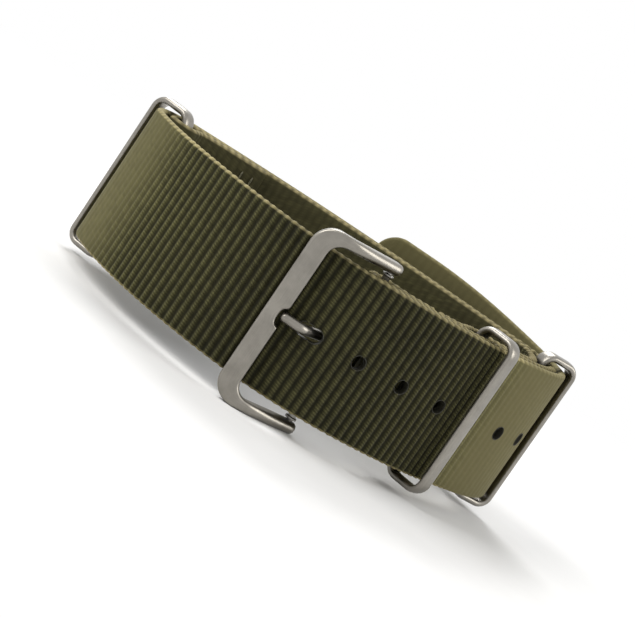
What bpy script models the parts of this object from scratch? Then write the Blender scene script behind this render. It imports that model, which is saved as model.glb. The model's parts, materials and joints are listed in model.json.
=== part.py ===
"""A woven pass-through watch strap closed into a loop, with its steel pin buckle and three steel keepers.

The loop stands on one selvage: z runs across the strap's width, x along the visible front run, y away from it.
Plan positions are measured from the tongue hole, on the outer face of the strap; the last step moves the
whole assembly so that the origin is at the middle of the bottom of its box.
"""

import math

import bmesh
import bpy
import numpy as np

for old in list(bpy.data.objects):
    bpy.data.objects.remove(old, do_unlink=True)

# Strap cloth
STRAP_WIDTH = 0.0200
STRAP_THICK = 0.0012
SELVAGE_ROUND = 0.00030
LAYER_GAP = 0.00030

# Spacing of the sections along it: on gentle runs, on tight ones, and of the curve that they are read from
STATION_STEP = 0.00125
TIGHT_STEP = 0.00093
FINE_STEP = 0.00025
BEND_STEP = math.radians(7.0)

# Outer face of the front run, away from the tongue hole: each leg is a share of the run and a turn in degrees
HEADING_AT_HOLE = math.radians(8.8)
RIGHT_RUN = 0.0849
RIGHT_LEG_SHARES = (
    (0.1060, 19.4),
    (0.2120, 22.7),
    (0.0942, 3.6),
    (0.0942, 17.6),
    (0.0589, 18.0),
    (0.0942, 48.0),
    (0.1649, 41.9),
    (0.1756, 0.0),
)
LEFT_RUN = 0.0535
LEFT_LEG_SHARES = (
    (0.1682, 26.0),
    (0.4487, 33.9),
    (0.1308, 12.9),
    (0.2523, 94.0),
)

# Where the long strap leaves the tail and turns into the back wall
LEAVE_AT = 0.0455
RIGHT_BEND_RADIUS = 0.0052
RIGHT_BEND_TO = math.radians(175.0)
WALL_PULL_SHARE = 1.14

# Tail: corners of its tip, and how far it climbs on its way there
TAIL_CORNER = 0.0035
TAIL_RISE = 0.0019
TAIL_RISE_FROM_SHARE = 0.589
TAIL_RISE_TO_SHARE = 0.907

# Adjusting holes. The first is pulled long by the tongue
HOLE_PITCH = 0.00707
HOLE_COUNT = 7
HOLE_ROOM = 0.00030
PULLED_LEFT_ROOM = 0.00033
PULLED_RIGHT_ROOM = 0.00070
CUT_MARGIN = 0.00015

# Fold of the long strap round the spring bar
PIN_AT = 0.0051
TUBE_RADIUS = 0.00080
FOLD_SLACK = 0.00020
FOLD_EASE = 0.0055
FOLD_BACK_TO = 0.0140
SLOT_SIDE_ROOM = 0.00085

# Short strap
SHORT_START_ROOM = 0.0017
SHORT_FOLD_BACK = 0.0170
END_FOLD_EASE = 0.0105
NEAR_TUNNEL_RUN = 0.0056
MIDDLE_TUNNEL_RUN = 0.0100

# Keepers: one size of ring, bent from flat bar with rounded edges
KEEPER_BAR_WIDE = 0.0024
KEEPER_BAR_THICK = 0.0010
KEEPER_SIDE_ROOM = 0.00070
KEEPER_CORNER = 0.0015
KEEPER_SLACK = 0.00030
KEEPER_LEAN_ROOM = 0.00027
KEEPER_PLAY = 0.00045
NEAR_KEEPER_AT = 0.0248
NEAR_KEEPER_LEAN = math.radians(10.0)
MIDDLE_KEEPER_PAST = 0.0020
MIDDLE_KEEPER_LEAN = math.radians(18.0)
MIDDLE_KEEPER_DROP = 0.00025
END_KEEPER_AT = -0.0465
END_BAR_BACK = 0.0010
END_KEEPER_DROP = 0.00030

# Buckle frame: a U of flat bar whose arms run back to the spring bar
FRAME_DROP = 0.00020
FRAME_SIDE_ROOM = 0.00115
FRAME_FRONT_X = -0.00660
FRAME_BAR_WIDE = 0.0027
FRAME_BAR_THICK = 0.0015
FRAME_BAR_GAP = 0.00020
FRAME_ARM_THICK = 0.0015
FRAME_ARM_DEEP = 0.0026
FRAME_OUTER_CORNER = 0.0030
FRAME_INNER_CORNER = 0.0018
FRAME_EDGE = 0.00028
NOTCH_DEEP = 0.00080
NOTCH_SIDE_ROOM = 0.00070
NOTCH_BELOW_TONGUE = 0.00020
SOCKET_DEEP = 0.00090
SOCKET_FIT = 0.00008
SOCKET_END_ROOM = 0.00018

# Spring bar: an open tube, two sprung tips and the spring between them
TUBE_WALL = 0.00022
TUBE_END_ROOM = 0.00175
TIP_NOSE_RADIUS = 0.00042
TIP_FIT = 0.00005
TIP_FLANGE_SET_IN = 0.00002
TIP_FLANGE_THICK = 0.00030
TIP_FACE_GAP = 0.00025
TIP_SHAFT_IN = 0.0036
SPRING_WIRE = 0.00018
SPRING_TURNS = 11
SPRING_END_GAP = 0.00006

# Tongue
TONGUE_WIRE = 0.0013
TONGUE_FIT = 0.00008
TONGUE_DROP = 0.00018
TONGUE_TIP_GAP = 0.00030
TONGUE_FLAT_TO = -0.0012
TONGUE_DIVE = math.radians(60.0)
TONGUE_BEND = 0.0014
TONGUE_LIFT = 0.00022
EYE_WRAP = math.radians(262.0)

TAU = 2.0 * math.pi
HALF_TURN = math.pi
QUARTER_TURN = math.pi / 2


def solid(name, verts, faces, smooth):
    """A mesh object with the faces turned outwards."""
    mesh = bpy.data.meshes.new(name)
    mesh.from_pydata([tuple(map(float, v)) for v in verts], [], [tuple(map(int, f)) for f in faces])
    work = bmesh.new()
    work.from_mesh(mesh)
    bmesh.ops.recalc_face_normals(work, faces=work.faces)
    work.to_mesh(mesh)
    work.free()
    mesh.polygons.foreach_set("use_smooth", [bool(smooth)] * len(mesh.polygons))
    obj = bpy.data.objects.new(name, mesh)
    bpy.context.scene.collection.objects.link(obj)
    return obj


def loft(name, sections, smooth=True, closed=False):
    """Joins equal sections, each a ring of 3-D points, into one skin; open ends are capped."""
    sections = np.asarray(sections, float)
    rows, cols = sections.shape[:2]
    faces = []
    for i in range(rows if closed else rows - 1):
        j = (i + 1) % rows
        for k in range(cols):
            m = (k + 1) % cols
            faces.append((i * cols + k, i * cols + m, j * cols + m, j * cols + k))
    if not closed:
        faces.append(tuple(range(cols))[::-1])
        faces.append(tuple((rows - 1) * cols + k for k in range(cols)))
    return solid(name, sections.reshape(-1, 3), faces, smooth)


def unit(angle):
    """Unit vector at an angle in plan."""
    return np.array([math.cos(angle), math.sin(angle)])


def inward(heading):
    """Unit vector towards the inside of the loop for a heading along the strap."""
    return np.stack([-np.sin(heading), np.cos(heading)], axis=-1)


def follow(heading, run, leg_shares, side):
    """Fine stations (x, y, heading, distance) along arcs from the tongue hole; side 1 turns left, -1 right."""
    rows = [(0.0, 0.0, heading, 0.0)]
    for run_share, degrees in leg_shares:
        x0, y0, h0, s0 = rows[-1]
        length, turn = run * run_share, side * math.radians(degrees)
        count = max(2, math.ceil(length / FINE_STEP))
        for i in range(1, count + 1):
            part = i / count
            h1 = h0 + turn * part
            if degrees:
                radius = length / turn
                x1 = x0 + radius * (math.sin(h1) - math.sin(h0))
                y1 = y0 + radius * (math.cos(h0) - math.cos(h1))
            else:
                x1, y1 = x0 + length * part * math.cos(h0), y0 + length * part * math.sin(h0)
            rows.append((x1, y1, h1, s0 + length * part))
    return np.array(rows)


def spaced(first, last, step=STATION_STEP):
    return np.linspace(first, last, max(2, math.ceil(abs(last - first) / step) + 1))


def ease(t):
    t = np.clip(t, 0.0, 1.0)
    return t * t * (3.0 - 2.0 * t)


def swell(t):
    """One raised cosine: 1 at t = 0 and flat zero from |t| = 1 on."""
    return np.where(np.abs(t) < 1.0, 0.5 + 0.5 * np.cos(np.pi * np.clip(t, -1.0, 1.0)), 0.0)


def lengths(points):
    steps = np.hypot(*np.diff(points, axis=0).T)
    return np.concatenate([[0.0], np.cumsum(steps)])


def directions(points):
    along = np.gradient(points, lengths(points), axis=0)
    return along / np.linalg.norm(along, axis=1)[:, None]


def ribbon(name, points, rise, half):
    """A strap: a flat band standing on edge along plan points, with softly rounded selvages."""
    along = directions(points)
    across = np.stack([-along[:, 1], along[:, 0]], axis=-1)
    t, c = STRAP_THICK / 2, SELVAGE_ROUND
    profile = ((-t, c), (-t + c, 0.0), (t - c, 0.0), (t, c))
    sections = []
    for p, n, z, h in zip(points, across, rise, half):
        ring = [(p[0] + n[0] * u, p[1] + n[1] * u, z + h - w) for u, w in profile]
        ring += [(p[0] + n[0] * u, p[1] + n[1] * u, z - h + w) for u, w in reversed(profile)]
        sections.append(ring)
    return loft(name, sections, smooth=False)


def cut(target, name, outlines, location=(0.0, 0.0, 0.0)):
    """Cuts closed prisms, each a (ring of near points, ring of far points), out of an object."""
    verts, faces = [], []
    for near, far in outlines:
        base, n = len(verts), len(near)
        verts += list(near) + list(far)
        faces += [(base + k, base + (k + 1) % n, base + n + (k + 1) % n, base + n + k) for k in range(n)]
        faces += [tuple(base + k for k in range(n))[::-1], tuple(base + n + k for k in range(n))]
    cutter = solid("cutter_" + name, verts, faces, False)
    cutter.location = location
    cutter.hide_render = True
    cutter.display_type = "WIRE"
    modifier = target.modifiers.new(name, "BOOLEAN")
    modifier.operation = "DIFFERENCE"
    modifier.solver = "EXACT"
    modifier.object = cutter


def stadium(length, width, count):
    """Points of a rounded slot, long way along the first axis."""
    r, flat = width / 2, (length - width) / 2
    angles = np.linspace(-QUARTER_TURN, QUARTER_TURN, count // 2)
    right = [(flat + r * math.cos(a), r * math.sin(a)) for a in angles]
    return right + [(-x, -y) for x, y in right]


def disc(radius, z, count=20):
    return [(*(radius * unit(TAU * k / count)), z) for k in range(count)]


# Outer face of the front run, from the left bend through the tongue hole to the tail's tip
left_half = follow(HEADING_AT_HOLE + HALF_TURN, LEFT_RUN, LEFT_LEG_SHARES, -1.0)[::-1]
left_half[:, 2] -= HALF_TURN
left_half[:, 3] *= -1.0
outer = np.concatenate([left_half[:-1], follow(HEADING_AT_HOLE, RIGHT_RUN, RIGHT_LEG_SHARES, 1.0)])
FRONT_FROM = outer[0, 3]
LEFT_BEND_FROM = FRONT_FROM + LEFT_RUN * LEFT_LEG_SHARES[-1][0]
TAIL_TIP = outer[-1, 3]


def station(s):
    """(x, y, heading) of the outer face at distance s."""
    return np.stack([np.interp(s, outer[:, 3], outer[:, k]) for k in range(3)], axis=-1)


def plan(s, depth):
    """Plan points at distance s along the outer face and a depth inside it."""
    x_y_heading = station(np.atleast_1d(s))
    return x_y_heading[:, :2] + inward(x_y_heading[:, 2]) * np.atleast_1d(depth)[:, None]


# Depths of each ply's middle below the outer face
LAYER = STRAP_THICK + LAYER_GAP
TAIL_DEPTH = STRAP_THICK / 2
MAIN_DEPTH = TAIL_DEPTH + LAYER
BACK_DEPTH = MAIN_DEPTH + LAYER

# Spring bar's axis, where the main ply turns round it
FOLD_RADIUS = TUBE_RADIUS + FOLD_SLACK + STRAP_THICK / 2
PIN = plan(PIN_AT, MAIN_DEPTH + FOLD_RADIUS)[0]
PIN_HEADING = float(station(PIN_AT)[2])
pin_along = unit(PIN_HEADING)
pin_inward = inward(PIN_HEADING)

# Tongue's wire: wrapped round the tube, out through the pulled hole and along the strap into the notch
wire = TONGUE_WIRE / 2
TONGUE_TIP_X = FRAME_FRONT_X + FRAME_BAR_WIDE - NOTCH_DEEP + TONGUE_TIP_GAP
dive = -unit(TONGUE_DIVE)
dive_side = unit(TONGUE_DIVE + QUARTER_TURN)


def tongue_eye():
    """Plan points round the tube, from the wire's free end to where it leaves."""
    leave = TONGUE_DIVE + QUARTER_TURN
    radius = TUBE_RADIUS + TONGUE_FIT + wire
    return [PIN + radius * unit(a) for a in np.linspace(leave - EYE_WRAP, leave, 25)]


def tongue_stem(foot):
    """Plan points from the eye straight to the knee, round it and flat to the middle of the tip."""
    flat_from = plan(TONGUE_TIP_X, -(TONGUE_LIFT + wire))[0]
    flat_to = plan(TONGUE_FLAT_TO, -(TONGUE_LIFT + wire))[0]
    flat = (flat_to - flat_from) / np.linalg.norm(flat_to - flat_from)
    reach = np.linalg.solve(np.array([dive, -flat]).T, flat_from - foot)[0]
    knee_turn = math.acos(-float(np.dot(dive, flat)))
    bend_from = foot + dive * (reach - TONGUE_BEND * math.tan(knee_turn / 2))
    bend_centre = bend_from + TONGUE_BEND * dive_side
    stem = [foot + (bend_from - foot) * t for t in (0.2, 0.4, 0.6, 0.8)]
    first = TONGUE_DIVE - QUARTER_TURN
    stem += [bend_centre + TONGUE_BEND * unit(first - knee_turn * k / 7) for k in range(8)]
    bend_to, tip = stem[-1], flat_from + flat * wire
    return stem + [bend_to + (tip - bend_to) * t for t in (0.35, 0.7, 1.0)]


eye_points = tongue_eye()
stem_points = tongue_stem(eye_points[-1])


def pulled_hole():
    """Where the pulled hole begins and ends along the strap: the tongue's slanted passage, plus room."""
    stem = np.array([eye_points[-1]] + stem_points)
    depth = (stem @ inward(HEADING_AT_HOLE))[::-1]
    along = (stem @ unit(HEADING_AT_HOLE))[::-1]
    slant = wire / math.sin(TONGUE_DIVE)
    left = np.interp(0.0, depth, along) - slant - PULLED_LEFT_ROOM
    right = np.interp(STRAP_THICK, depth, along) + slant + PULLED_RIGHT_ROOM
    return left, right


# Long strap: free end of its fold, round the spring bar, main ply, right bend
back_s = spaced(FOLD_BACK_TO, PIN_AT)
fold_gap = MAIN_DEPTH + 2 * FOLD_RADIUS - BACK_DEPTH
back = plan(back_s, BACK_DEPTH + fold_gap * ease(1.0 - (back_s - PIN_AT) / FOLD_EASE))
half_circle = np.linspace(0.0, HALF_TURN, 17)[1:-1, None]
round_pin = PIN + FOLD_RADIUS * (np.cos(half_circle) * pin_inward - np.sin(half_circle) * pin_along)
main_s = spaced(PIN_AT, LEAVE_AT)
main = plan(main_s, np.full(len(main_s), MAIN_DEPTH))
leave_heading = float(station(LEAVE_AT)[2])
bend_steps = math.ceil((RIGHT_BEND_TO - leave_heading) / BEND_STEP)
bend_heading = np.linspace(leave_heading, RIGHT_BEND_TO, bend_steps + 1)
right_bend = main[-1] + RIGHT_BEND_RADIUS * (inward(leave_heading) - inward(bend_heading))

# Back wall: one easy curve from the right bend to the left bend
wall_from = right_bend[-1]
wall_to = plan(FRONT_FROM, TAIL_DEPTH)[0]
wall_pull = WALL_PULL_SHARE * float(np.hypot(*(wall_to - wall_from)))
wall_part = np.linspace(0.0, 1.0, 42)[:, None]
wall = (
    (2 * wall_part**3 - 3 * wall_part**2 + 1) * wall_from
    + (wall_part**3 - 2 * wall_part**2 + wall_part) * wall_pull * unit(RIGHT_BEND_TO)
    + (-2 * wall_part**3 + 3 * wall_part**2) * wall_to
    + (wall_part**3 - wall_part**2) * wall_pull * unit(outer[0, 2])
)


def tail_rise(s):
    start, stop = TAIL_RISE_FROM_SHARE * RIGHT_RUN, TAIL_RISE_TO_SHARE * RIGHT_RUN
    return TAIL_RISE * ease((s - start) / (stop - start))


def tail_half(s):
    """Half width of the tail, drawn in round the corners of its tip."""
    into_corner = TAIL_CORNER - np.clip(TAIL_TIP - s, 0.0, TAIL_CORNER)
    return STRAP_WIDTH / 2 - TAIL_CORNER + np.sqrt(TAIL_CORNER**2 - into_corner**2)


corner_s = TAIL_TIP - TAIL_CORNER * (1.0 - np.sin(np.linspace(0.0, QUARTER_TURN, 8)[1:]))
front_s = np.concatenate(
    [
        spaced(FRONT_FROM, LEFT_BEND_FROM, TIGHT_STEP)[1:],
        spaced(LEFT_BEND_FROM, LEAVE_AT)[1:],
        spaced(LEAVE_AT, TAIL_TIP - TAIL_CORNER)[1:],
        corner_s,
    ]
)
front = plan(front_s, np.full(len(front_s), TAIL_DEPTH))
inner_run = np.concatenate([back, round_pin, main, right_bend[1:], wall[1:]])
strap_long = ribbon(
    "strap_long",
    np.concatenate([inner_run, front]),
    np.concatenate([np.zeros(len(inner_run)), tail_rise(front_s)]),
    np.concatenate([np.full(len(inner_run), STRAP_WIDTH / 2), tail_half(front_s)]),
)

# Holes through the tail ply only
HOLE_DIAMETER = TONGUE_WIRE + 2 * HOLE_ROOM
pulled_left, pulled_right = pulled_hole()
hole_sizes = [((pulled_left + pulled_right) / 2, pulled_right - pulled_left)]
hole_sizes += [(index * HOLE_PITCH, HOLE_DIAMETER) for index in range(1, HOLE_COUNT)]
hole_prisms = []
for middle, length in hole_sizes:
    x, y, h = station(middle)
    height = float(tail_rise(middle)) - TONGUE_DROP
    prism = []
    for depth in (-CUT_MARGIN, STRAP_THICK + CUT_MARGIN):
        centre = np.array([x, y]) + inward(h) * depth
        outline = stadium(length, HOLE_DIAMETER, 16)
        prism.append([(*(centre + unit(h) * u), height + w) for u, w in outline])
    hole_prisms.append(prism)
cut(strap_long, "holes", hole_prisms)

# Slot in the fold where the tongue's eye sits
slot_half = wire + SLOT_SIDE_ROOM
slot_along = FOLD_RADIUS + STRAP_THICK
slot_out = FOLD_RADIUS + STRAP_THICK / 2 + CUT_MARGIN / 2
slot_in = slot_out + CUT_MARGIN
slot_box = ((-slot_along, -slot_out), (slot_along, -slot_out), (slot_along, slot_in), (-slot_along, slot_in))
slot_corners = [PIN + pin_along * u + pin_inward * v for u, v in slot_box]
slot_prism = [[(*corner, z - TONGUE_DROP) for corner in slot_corners] for z in (-slot_half, slot_half)]
cut(strap_long, "slot", [slot_prism])

# Middle line that the short strap and the keepers follow: the long strap from beyond its fold to the front
short_from = FOLD_BACK_TO + SHORT_START_ROOM
guide_main_s = np.concatenate([[short_from], main_s[main_s > short_from]])
guide_main = plan(guide_main_s, np.full(len(guide_main_s), MAIN_DEPTH))
guide = np.concatenate([guide_main, right_bend[1:], wall[1:], front])
guide_run = lengths(guide)
guide_along = directions(guide)
near_run = float(np.interp(NEAR_KEEPER_AT, guide_main_s, guide_run[: len(guide_main)]))
middle_run = guide_run[len(guide_main) - 1] + MIDDLE_KEEPER_PAST
end_run = float(np.interp(END_KEEPER_AT, front_s, guide_run[-len(front):]))


def guide_heading(run):
    """Heading of the guide line at a run along it."""
    along = np.stack([np.interp(run, guide_run, guide_along[:, k]) for k in (0, 1)], axis=-1)
    return np.arctan2(along[..., 1], along[..., 0])


def beside(run, depth):
    """Plan points at a run along the guide line and a depth inside it."""
    run = np.atleast_1d(run)
    base = np.stack([np.interp(run, guide_run, guide[:, k]) for k in (0, 1)], axis=-1)
    return base + inward(guide_heading(run)) * np.atleast_1d(depth)[:, None]


# Short strap: inside the long one, out over the first two keepers' inner bars, and folded round the last one's
BAR_HALF = KEEPER_BAR_THICK / 2 + KEEPER_LEAN_ROOM
BAR_DEPTH = STRAP_THICK / 2 + KEEPER_SLACK + BAR_HALF
TUNNEL_RISE = 2 * BAR_DEPTH - LAYER
short_run = np.concatenate([guide_run[guide_run < end_run - STATION_STEP / 3], [end_run]])
tunnels = swell((short_run - near_run) / NEAR_TUNNEL_RUN) + swell((short_run - middle_run) / MIDDLE_TUNNEL_RUN)
short_out = beside(short_run, LAYER + TUNNEL_RISE * tunnels)
END_FOLD_RADIUS = BAR_HALF + KEEPER_SLACK + STRAP_THICK / 2
END_BAR_DEPTH = LAYER + END_FOLD_RADIUS
end_heading = float(guide_heading(end_run))
end_turn = np.sin(half_circle) * unit(end_heading) - np.cos(half_circle) * inward(end_heading)
round_end = beside(end_run, END_BAR_DEPTH)[0] + END_FOLD_RADIUS * end_turn
return_run = spaced(end_run, end_run - SHORT_FOLD_BACK, TIGHT_STEP)
return_open = ease(1.0 - (end_run - return_run) / END_FOLD_EASE)
short_back = beside(return_run, 2 * LAYER + (2 * END_FOLD_RADIUS - LAYER) * return_open)
short_points = np.concatenate([short_out, round_end, short_back])
ribbon("strap_short", short_points, np.zeros(len(short_points)), np.full(len(short_points), STRAP_WIDTH / 2))

# Keepers
KEEPER_OPENING = STRAP_WIDTH + 2 * KEEPER_SIDE_ROOM
KEEPER_REACH = (2 * BAR_DEPTH + LAYER) / math.cos(NEAR_KEEPER_LEAN) + KEEPER_PLAY


def keeper(name, run, depth, lean, drop):
    """A ring of flat bar, with its origin on its inner bar's axis and its outer bar one reach along its x."""
    half_z = (KEEPER_OPENING + KEEPER_BAR_THICK) / 2
    corner = []
    for k in range(7):
        a = QUARTER_TURN * k / 6
        corner.append((KEEPER_CORNER * (1 - math.cos(a)), half_z - KEEPER_CORNER * (1 - math.sin(a)), a))
    path = [(x, z, -math.cos(a), math.sin(a)) for x, z, a in corner]
    path += [(KEEPER_REACH - x, z, math.cos(a), math.sin(a)) for x, z, a in reversed(corner)]
    path += [(x, -z, nx, -nz) for x, z, nx, nz in reversed(path)]
    bar = stadium(KEEPER_BAR_WIDE, KEEPER_BAR_THICK, 12)
    sections = [[(x + nx * v, u, z + nz * v) for u, v in bar] for x, z, nx, nz in path]
    ring = loft(name, sections, closed=True)
    ring.location = (*beside(run, depth)[0], -drop)
    ring.rotation_euler = (0.0, 0.0, float(guide_heading(run)) - QUARTER_TURN + lean)


keeper("keeper_near", near_run, BAR_DEPTH, NEAR_KEEPER_LEAN, 0.0)
keeper("keeper_middle", middle_run, BAR_DEPTH, MIDDLE_KEEPER_LEAN, MIDDLE_KEEPER_DROP)
keeper("keeper_end", end_run - END_BAR_BACK, END_BAR_DEPTH, 0.0, END_KEEPER_DROP)

# Buckle frame: its bar stands off the strap's outermost line under it
arm_from = FRAME_FRONT_X + FRAME_BAR_WIDE
under_bar = outer[(outer[:, 0] > FRAME_FRONT_X) & (outer[:, 0] < arm_from) & (outer[:, 3] < 0.0)]
bar_y = under_bar[:, 1].min() - FRAME_BAR_GAP - FRAME_BAR_THICK / 2
arm_run = PIN[0] - arm_from
bend_run = FRAME_BAR_WIDE
arm_slope = math.atan2(PIN[1] - bar_y, arm_run - bend_run / 2)
half_height = STRAP_WIDTH / 2 + FRAME_SIDE_ROOM + FRAME_ARM_THICK
inner_face = half_height - FRAME_ARM_THICK
outer_corner = (FRAME_FRONT_X + FRAME_OUTER_CORNER, half_height - FRAME_OUTER_CORNER)
inner_corner = (arm_from + FRAME_INNER_CORNER, inner_face - FRAME_INNER_CORNER)


def frame_mid(x):
    """Depth, facing and half thickness of the bent plate's middle at one x."""
    t = (x - arm_from) / bend_run
    lean = arm_slope * float(ease(t))
    fall = max(t, 0.0) ** 2 / 2 if t < 1.0 else t - 0.5
    thicker = (FRAME_ARM_DEEP - FRAME_BAR_THICK) * float(ease((x - arm_from) / (0.75 * arm_run)))
    y = bar_y + math.tan(arm_slope) * bend_run * fall
    return y, unit(lean - QUARTER_TURN), (FRAME_BAR_THICK + thicker) / 2


def frame_section(inner, outside, facing, deep):
    """Eight points round the bar from its inner and outer middle points (x, y, z)."""
    inner, outside = np.array(inner), np.array(outside)
    across = (outside - inner) / np.linalg.norm(outside - inner)
    face = np.array([facing[0], facing[1], 0.0])
    edge = min(FRAME_EDGE, 0.6 * deep)
    side = [(inner, deep - edge, 0.0), (inner, deep, edge), (outside, deep, -edge), (outside, deep - edge, 0.0)]
    section = [point + face * out + across * along for point, out, along in side]
    return section + [point - face * out + across * along for point, out, along in reversed(side)]


def frame_arm():
    """Sections of the upper arm: rounded end at the spring bar, run to the corner, and round it."""
    sections = []
    for a in np.linspace(0.93 * QUARTER_TURN, 0.0, 7):
        x, y = PIN + unit(arm_slope) * FRAME_ARM_DEEP / 2 * math.sin(a)
        facing, deep = unit(arm_slope - QUARTER_TURN), FRAME_ARM_DEEP / 2 * math.cos(a)
        sections.append(frame_section((x, y, inner_face), (x, y, half_height), facing, deep))
    for part in np.linspace(0.0, 1.0, 6)[1:-1]:
        x = PIN[0] + (inner_corner[0] - PIN[0]) * part
        y, facing, deep = frame_mid(x)
        sections.append(frame_section((x, y, inner_face), (x, y, half_height), facing, deep))
    for a in np.linspace(0.0, QUARTER_TURN, 9):
        across, along = math.sin(a), math.cos(a)
        in_x, in_z = inner_corner[0] - FRAME_INNER_CORNER * across, inner_corner[1] + FRAME_INNER_CORNER * along
        out_x, out_z = outer_corner[0] - FRAME_OUTER_CORNER * across, outer_corner[1] + FRAME_OUTER_CORNER * along
        in_y, in_facing, in_deep = frame_mid(in_x)
        out_y, out_facing, out_deep = frame_mid(out_x)
        facing = (in_facing + out_facing) / np.linalg.norm(in_facing + out_facing)
        deep = (in_deep + out_deep) / 2
        sections.append(frame_section((in_x, in_y, in_z), (out_x, out_y, out_z), facing, deep))
    return sections


def frame_bar():
    """Sections down the front bar, thinned where the tongue's tip rests in its notch."""
    middle = FRAME_DROP - TONGUE_DROP - NOTCH_BELOW_TONGUE
    half = wire + NOTCH_SIDE_ROOM
    sections = []
    for half_share in (1.0, 0.93, 0.8, 0.62, 0.35, 0.0, -0.35, -0.62, -0.8, -0.93, -1.0):
        z = middle + half * half_share
        dip = NOTCH_DEEP * math.sqrt(1.0 - abs(half_share) ** 2.6)
        ends = (arm_from - dip, bar_y, z), (FRAME_FRONT_X, bar_y, z)
        sections.append(frame_section(*ends, (0.0, -1.0), FRAME_BAR_THICK / 2))
    return sections


upper_arm = frame_arm()
lower_arm = [[point * (1.0, 1.0, -1.0) for point in section] for section in reversed(upper_arm)]
at_pin = (PIN[0], PIN[1], -FRAME_DROP)
frame_points = np.array(upper_arm + frame_bar() + lower_arm)
frame_points[:, :, :2] -= PIN
frame = loft("buckle_frame", frame_points, smooth=False)
frame.location = at_pin
SOCKET_RADIUS = TIP_NOSE_RADIUS + SOCKET_FIT
socket_ends = (inner_face - SOCKET_DEEP, inner_face + SOCKET_DEEP)
socket_prisms = [[disc(SOCKET_RADIUS, sign * end) for end in socket_ends] for sign in (1.0, -1.0)]
cut(frame, "sockets", socket_prisms, at_pin)

# Spring bar
tube_inner = TUBE_RADIUS - TUBE_WALL
tube_end = inner_face - TUBE_END_ROOM
tube_rings = ((TUBE_RADIUS, -tube_end), (TUBE_RADIUS, tube_end), (tube_inner, tube_end), (tube_inner, -tube_end))
tube = loft("spring_bar_tube", [disc(r, z, 24) for r, z in tube_rings], closed=True)
tube.location = at_pin
shaft_radius = tube_inner - TIP_FIT
shaft_end = tube_end - TIP_SHAFT_IN
flange_radius = TUBE_RADIUS - TIP_FLANGE_SET_IN
flange_out = inner_face - TIP_FACE_GAP
nose_end = inner_face + SOCKET_DEEP - SOCKET_END_ROOM
tip_profile = (
    (0.94 * shaft_radius, shaft_end),
    (shaft_radius, shaft_end + 0.1 * TIP_SHAFT_IN),
    (shaft_radius, flange_out - TIP_FLANGE_THICK),
    (flange_radius, flange_out - TIP_FLANGE_THICK),
    (flange_radius, flange_out),
    (TIP_NOSE_RADIUS, flange_out),
    (TIP_NOSE_RADIUS, nose_end - 0.4 * TIP_NOSE_RADIUS),
    (0.6 * TIP_NOSE_RADIUS, nose_end),
)
for name, sign in (("spring_bar_tip_upper", 1.0), ("spring_bar_tip_lower", -1.0)):
    tip = loft(name, [disc(r, sign * z) for r, z in tip_profile])
    tip.location = at_pin


def spring_coil():
    """Sections of the round wire along its helix, from the lower tip to the upper one."""
    radius = shaft_radius - SPRING_WIRE
    half = shaft_end - SPRING_END_GAP - SPRING_WIRE / 2
    count = 12 * SPRING_TURNS
    sections = []
    for i in range(count + 1):
        out = unit(TAU * SPRING_TURNS * i / count)
        z = half * (2 * i / count - 1)
        around = [unit(TAU * k / 6) * SPRING_WIRE / 2 for k in range(6)]
        sections.append([(*(out * (radius + u)), z + v) for u, v in around])
    return sections


spring = loft("spring_bar_spring", spring_coil())
spring.location = at_pin


def wire_section(point, along, radius):
    side = np.array([-along[1], along[0]])
    ring = [unit(TAU * k / 12) * radius for k in range(12)]
    return [(*(point + side * u), v) for u, v in ring]


# Tongue
tongue_points = np.array(eye_points + stem_points) - PIN
tongue_along = directions(tongue_points)
tongue_sections = [wire_section(p, d, wire) for p, d in zip(tongue_points, tongue_along)]
for k in range(1, 4):
    a = QUARTER_TURN * k / 4
    tip_point = tongue_points[-1] + tongue_along[-1] * wire * math.sin(a)
    tongue_sections.append(wire_section(tip_point, tongue_along[-1], wire * math.cos(a)))
tongue = loft("buckle_tongue", tongue_sections)
tongue.location = (PIN[0], PIN[1], -TONGUE_DROP)


def material(name, colour, roughness, metallic):
    made = bpy.data.materials.new(name)
    made.use_nodes = True
    shader = made.node_tree.nodes["Principled BSDF"]
    shader.inputs["Base Color"].default_value = (*colour, 1.0)
    shader.inputs["Roughness"].default_value = roughness
    shader.inputs["Metallic"].default_value = metallic
    return made


OLIVE = (0.115, 0.105, 0.050)
OLIVE_INSIDE = (0.135, 0.120, 0.060)
STEEL = (0.42, 0.41, 0.38)
STEEL_DARK = (0.30, 0.29, 0.27)
LOOKS = {
    "strap_long": (OLIVE, 0.85, 0.0),
    "strap_short": (OLIVE_INSIDE, 0.88, 0.0),
    "buckle_frame": (STEEL, 0.32, 1.0),
    "buckle_tongue": (STEEL, 0.30, 1.0),
    "spring_bar_tube": (STEEL_DARK, 0.35, 1.0),
    "spring_bar_tip_upper": (STEEL_DARK, 0.30, 1.0),
    "spring_bar_tip_lower": (STEEL_DARK, 0.30, 1.0),
    "spring_bar_spring": (STEEL_DARK, 0.28, 1.0),
    "keeper_near": (STEEL, 0.30, 1.0),
    "keeper_middle": (STEEL, 0.30, 1.0),
    "keeper_end": (STEEL, 0.30, 1.0),
}
for name, look in LOOKS.items():
    bpy.data.objects[name].data.materials.append(material("mat_" + name, *look))

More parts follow.
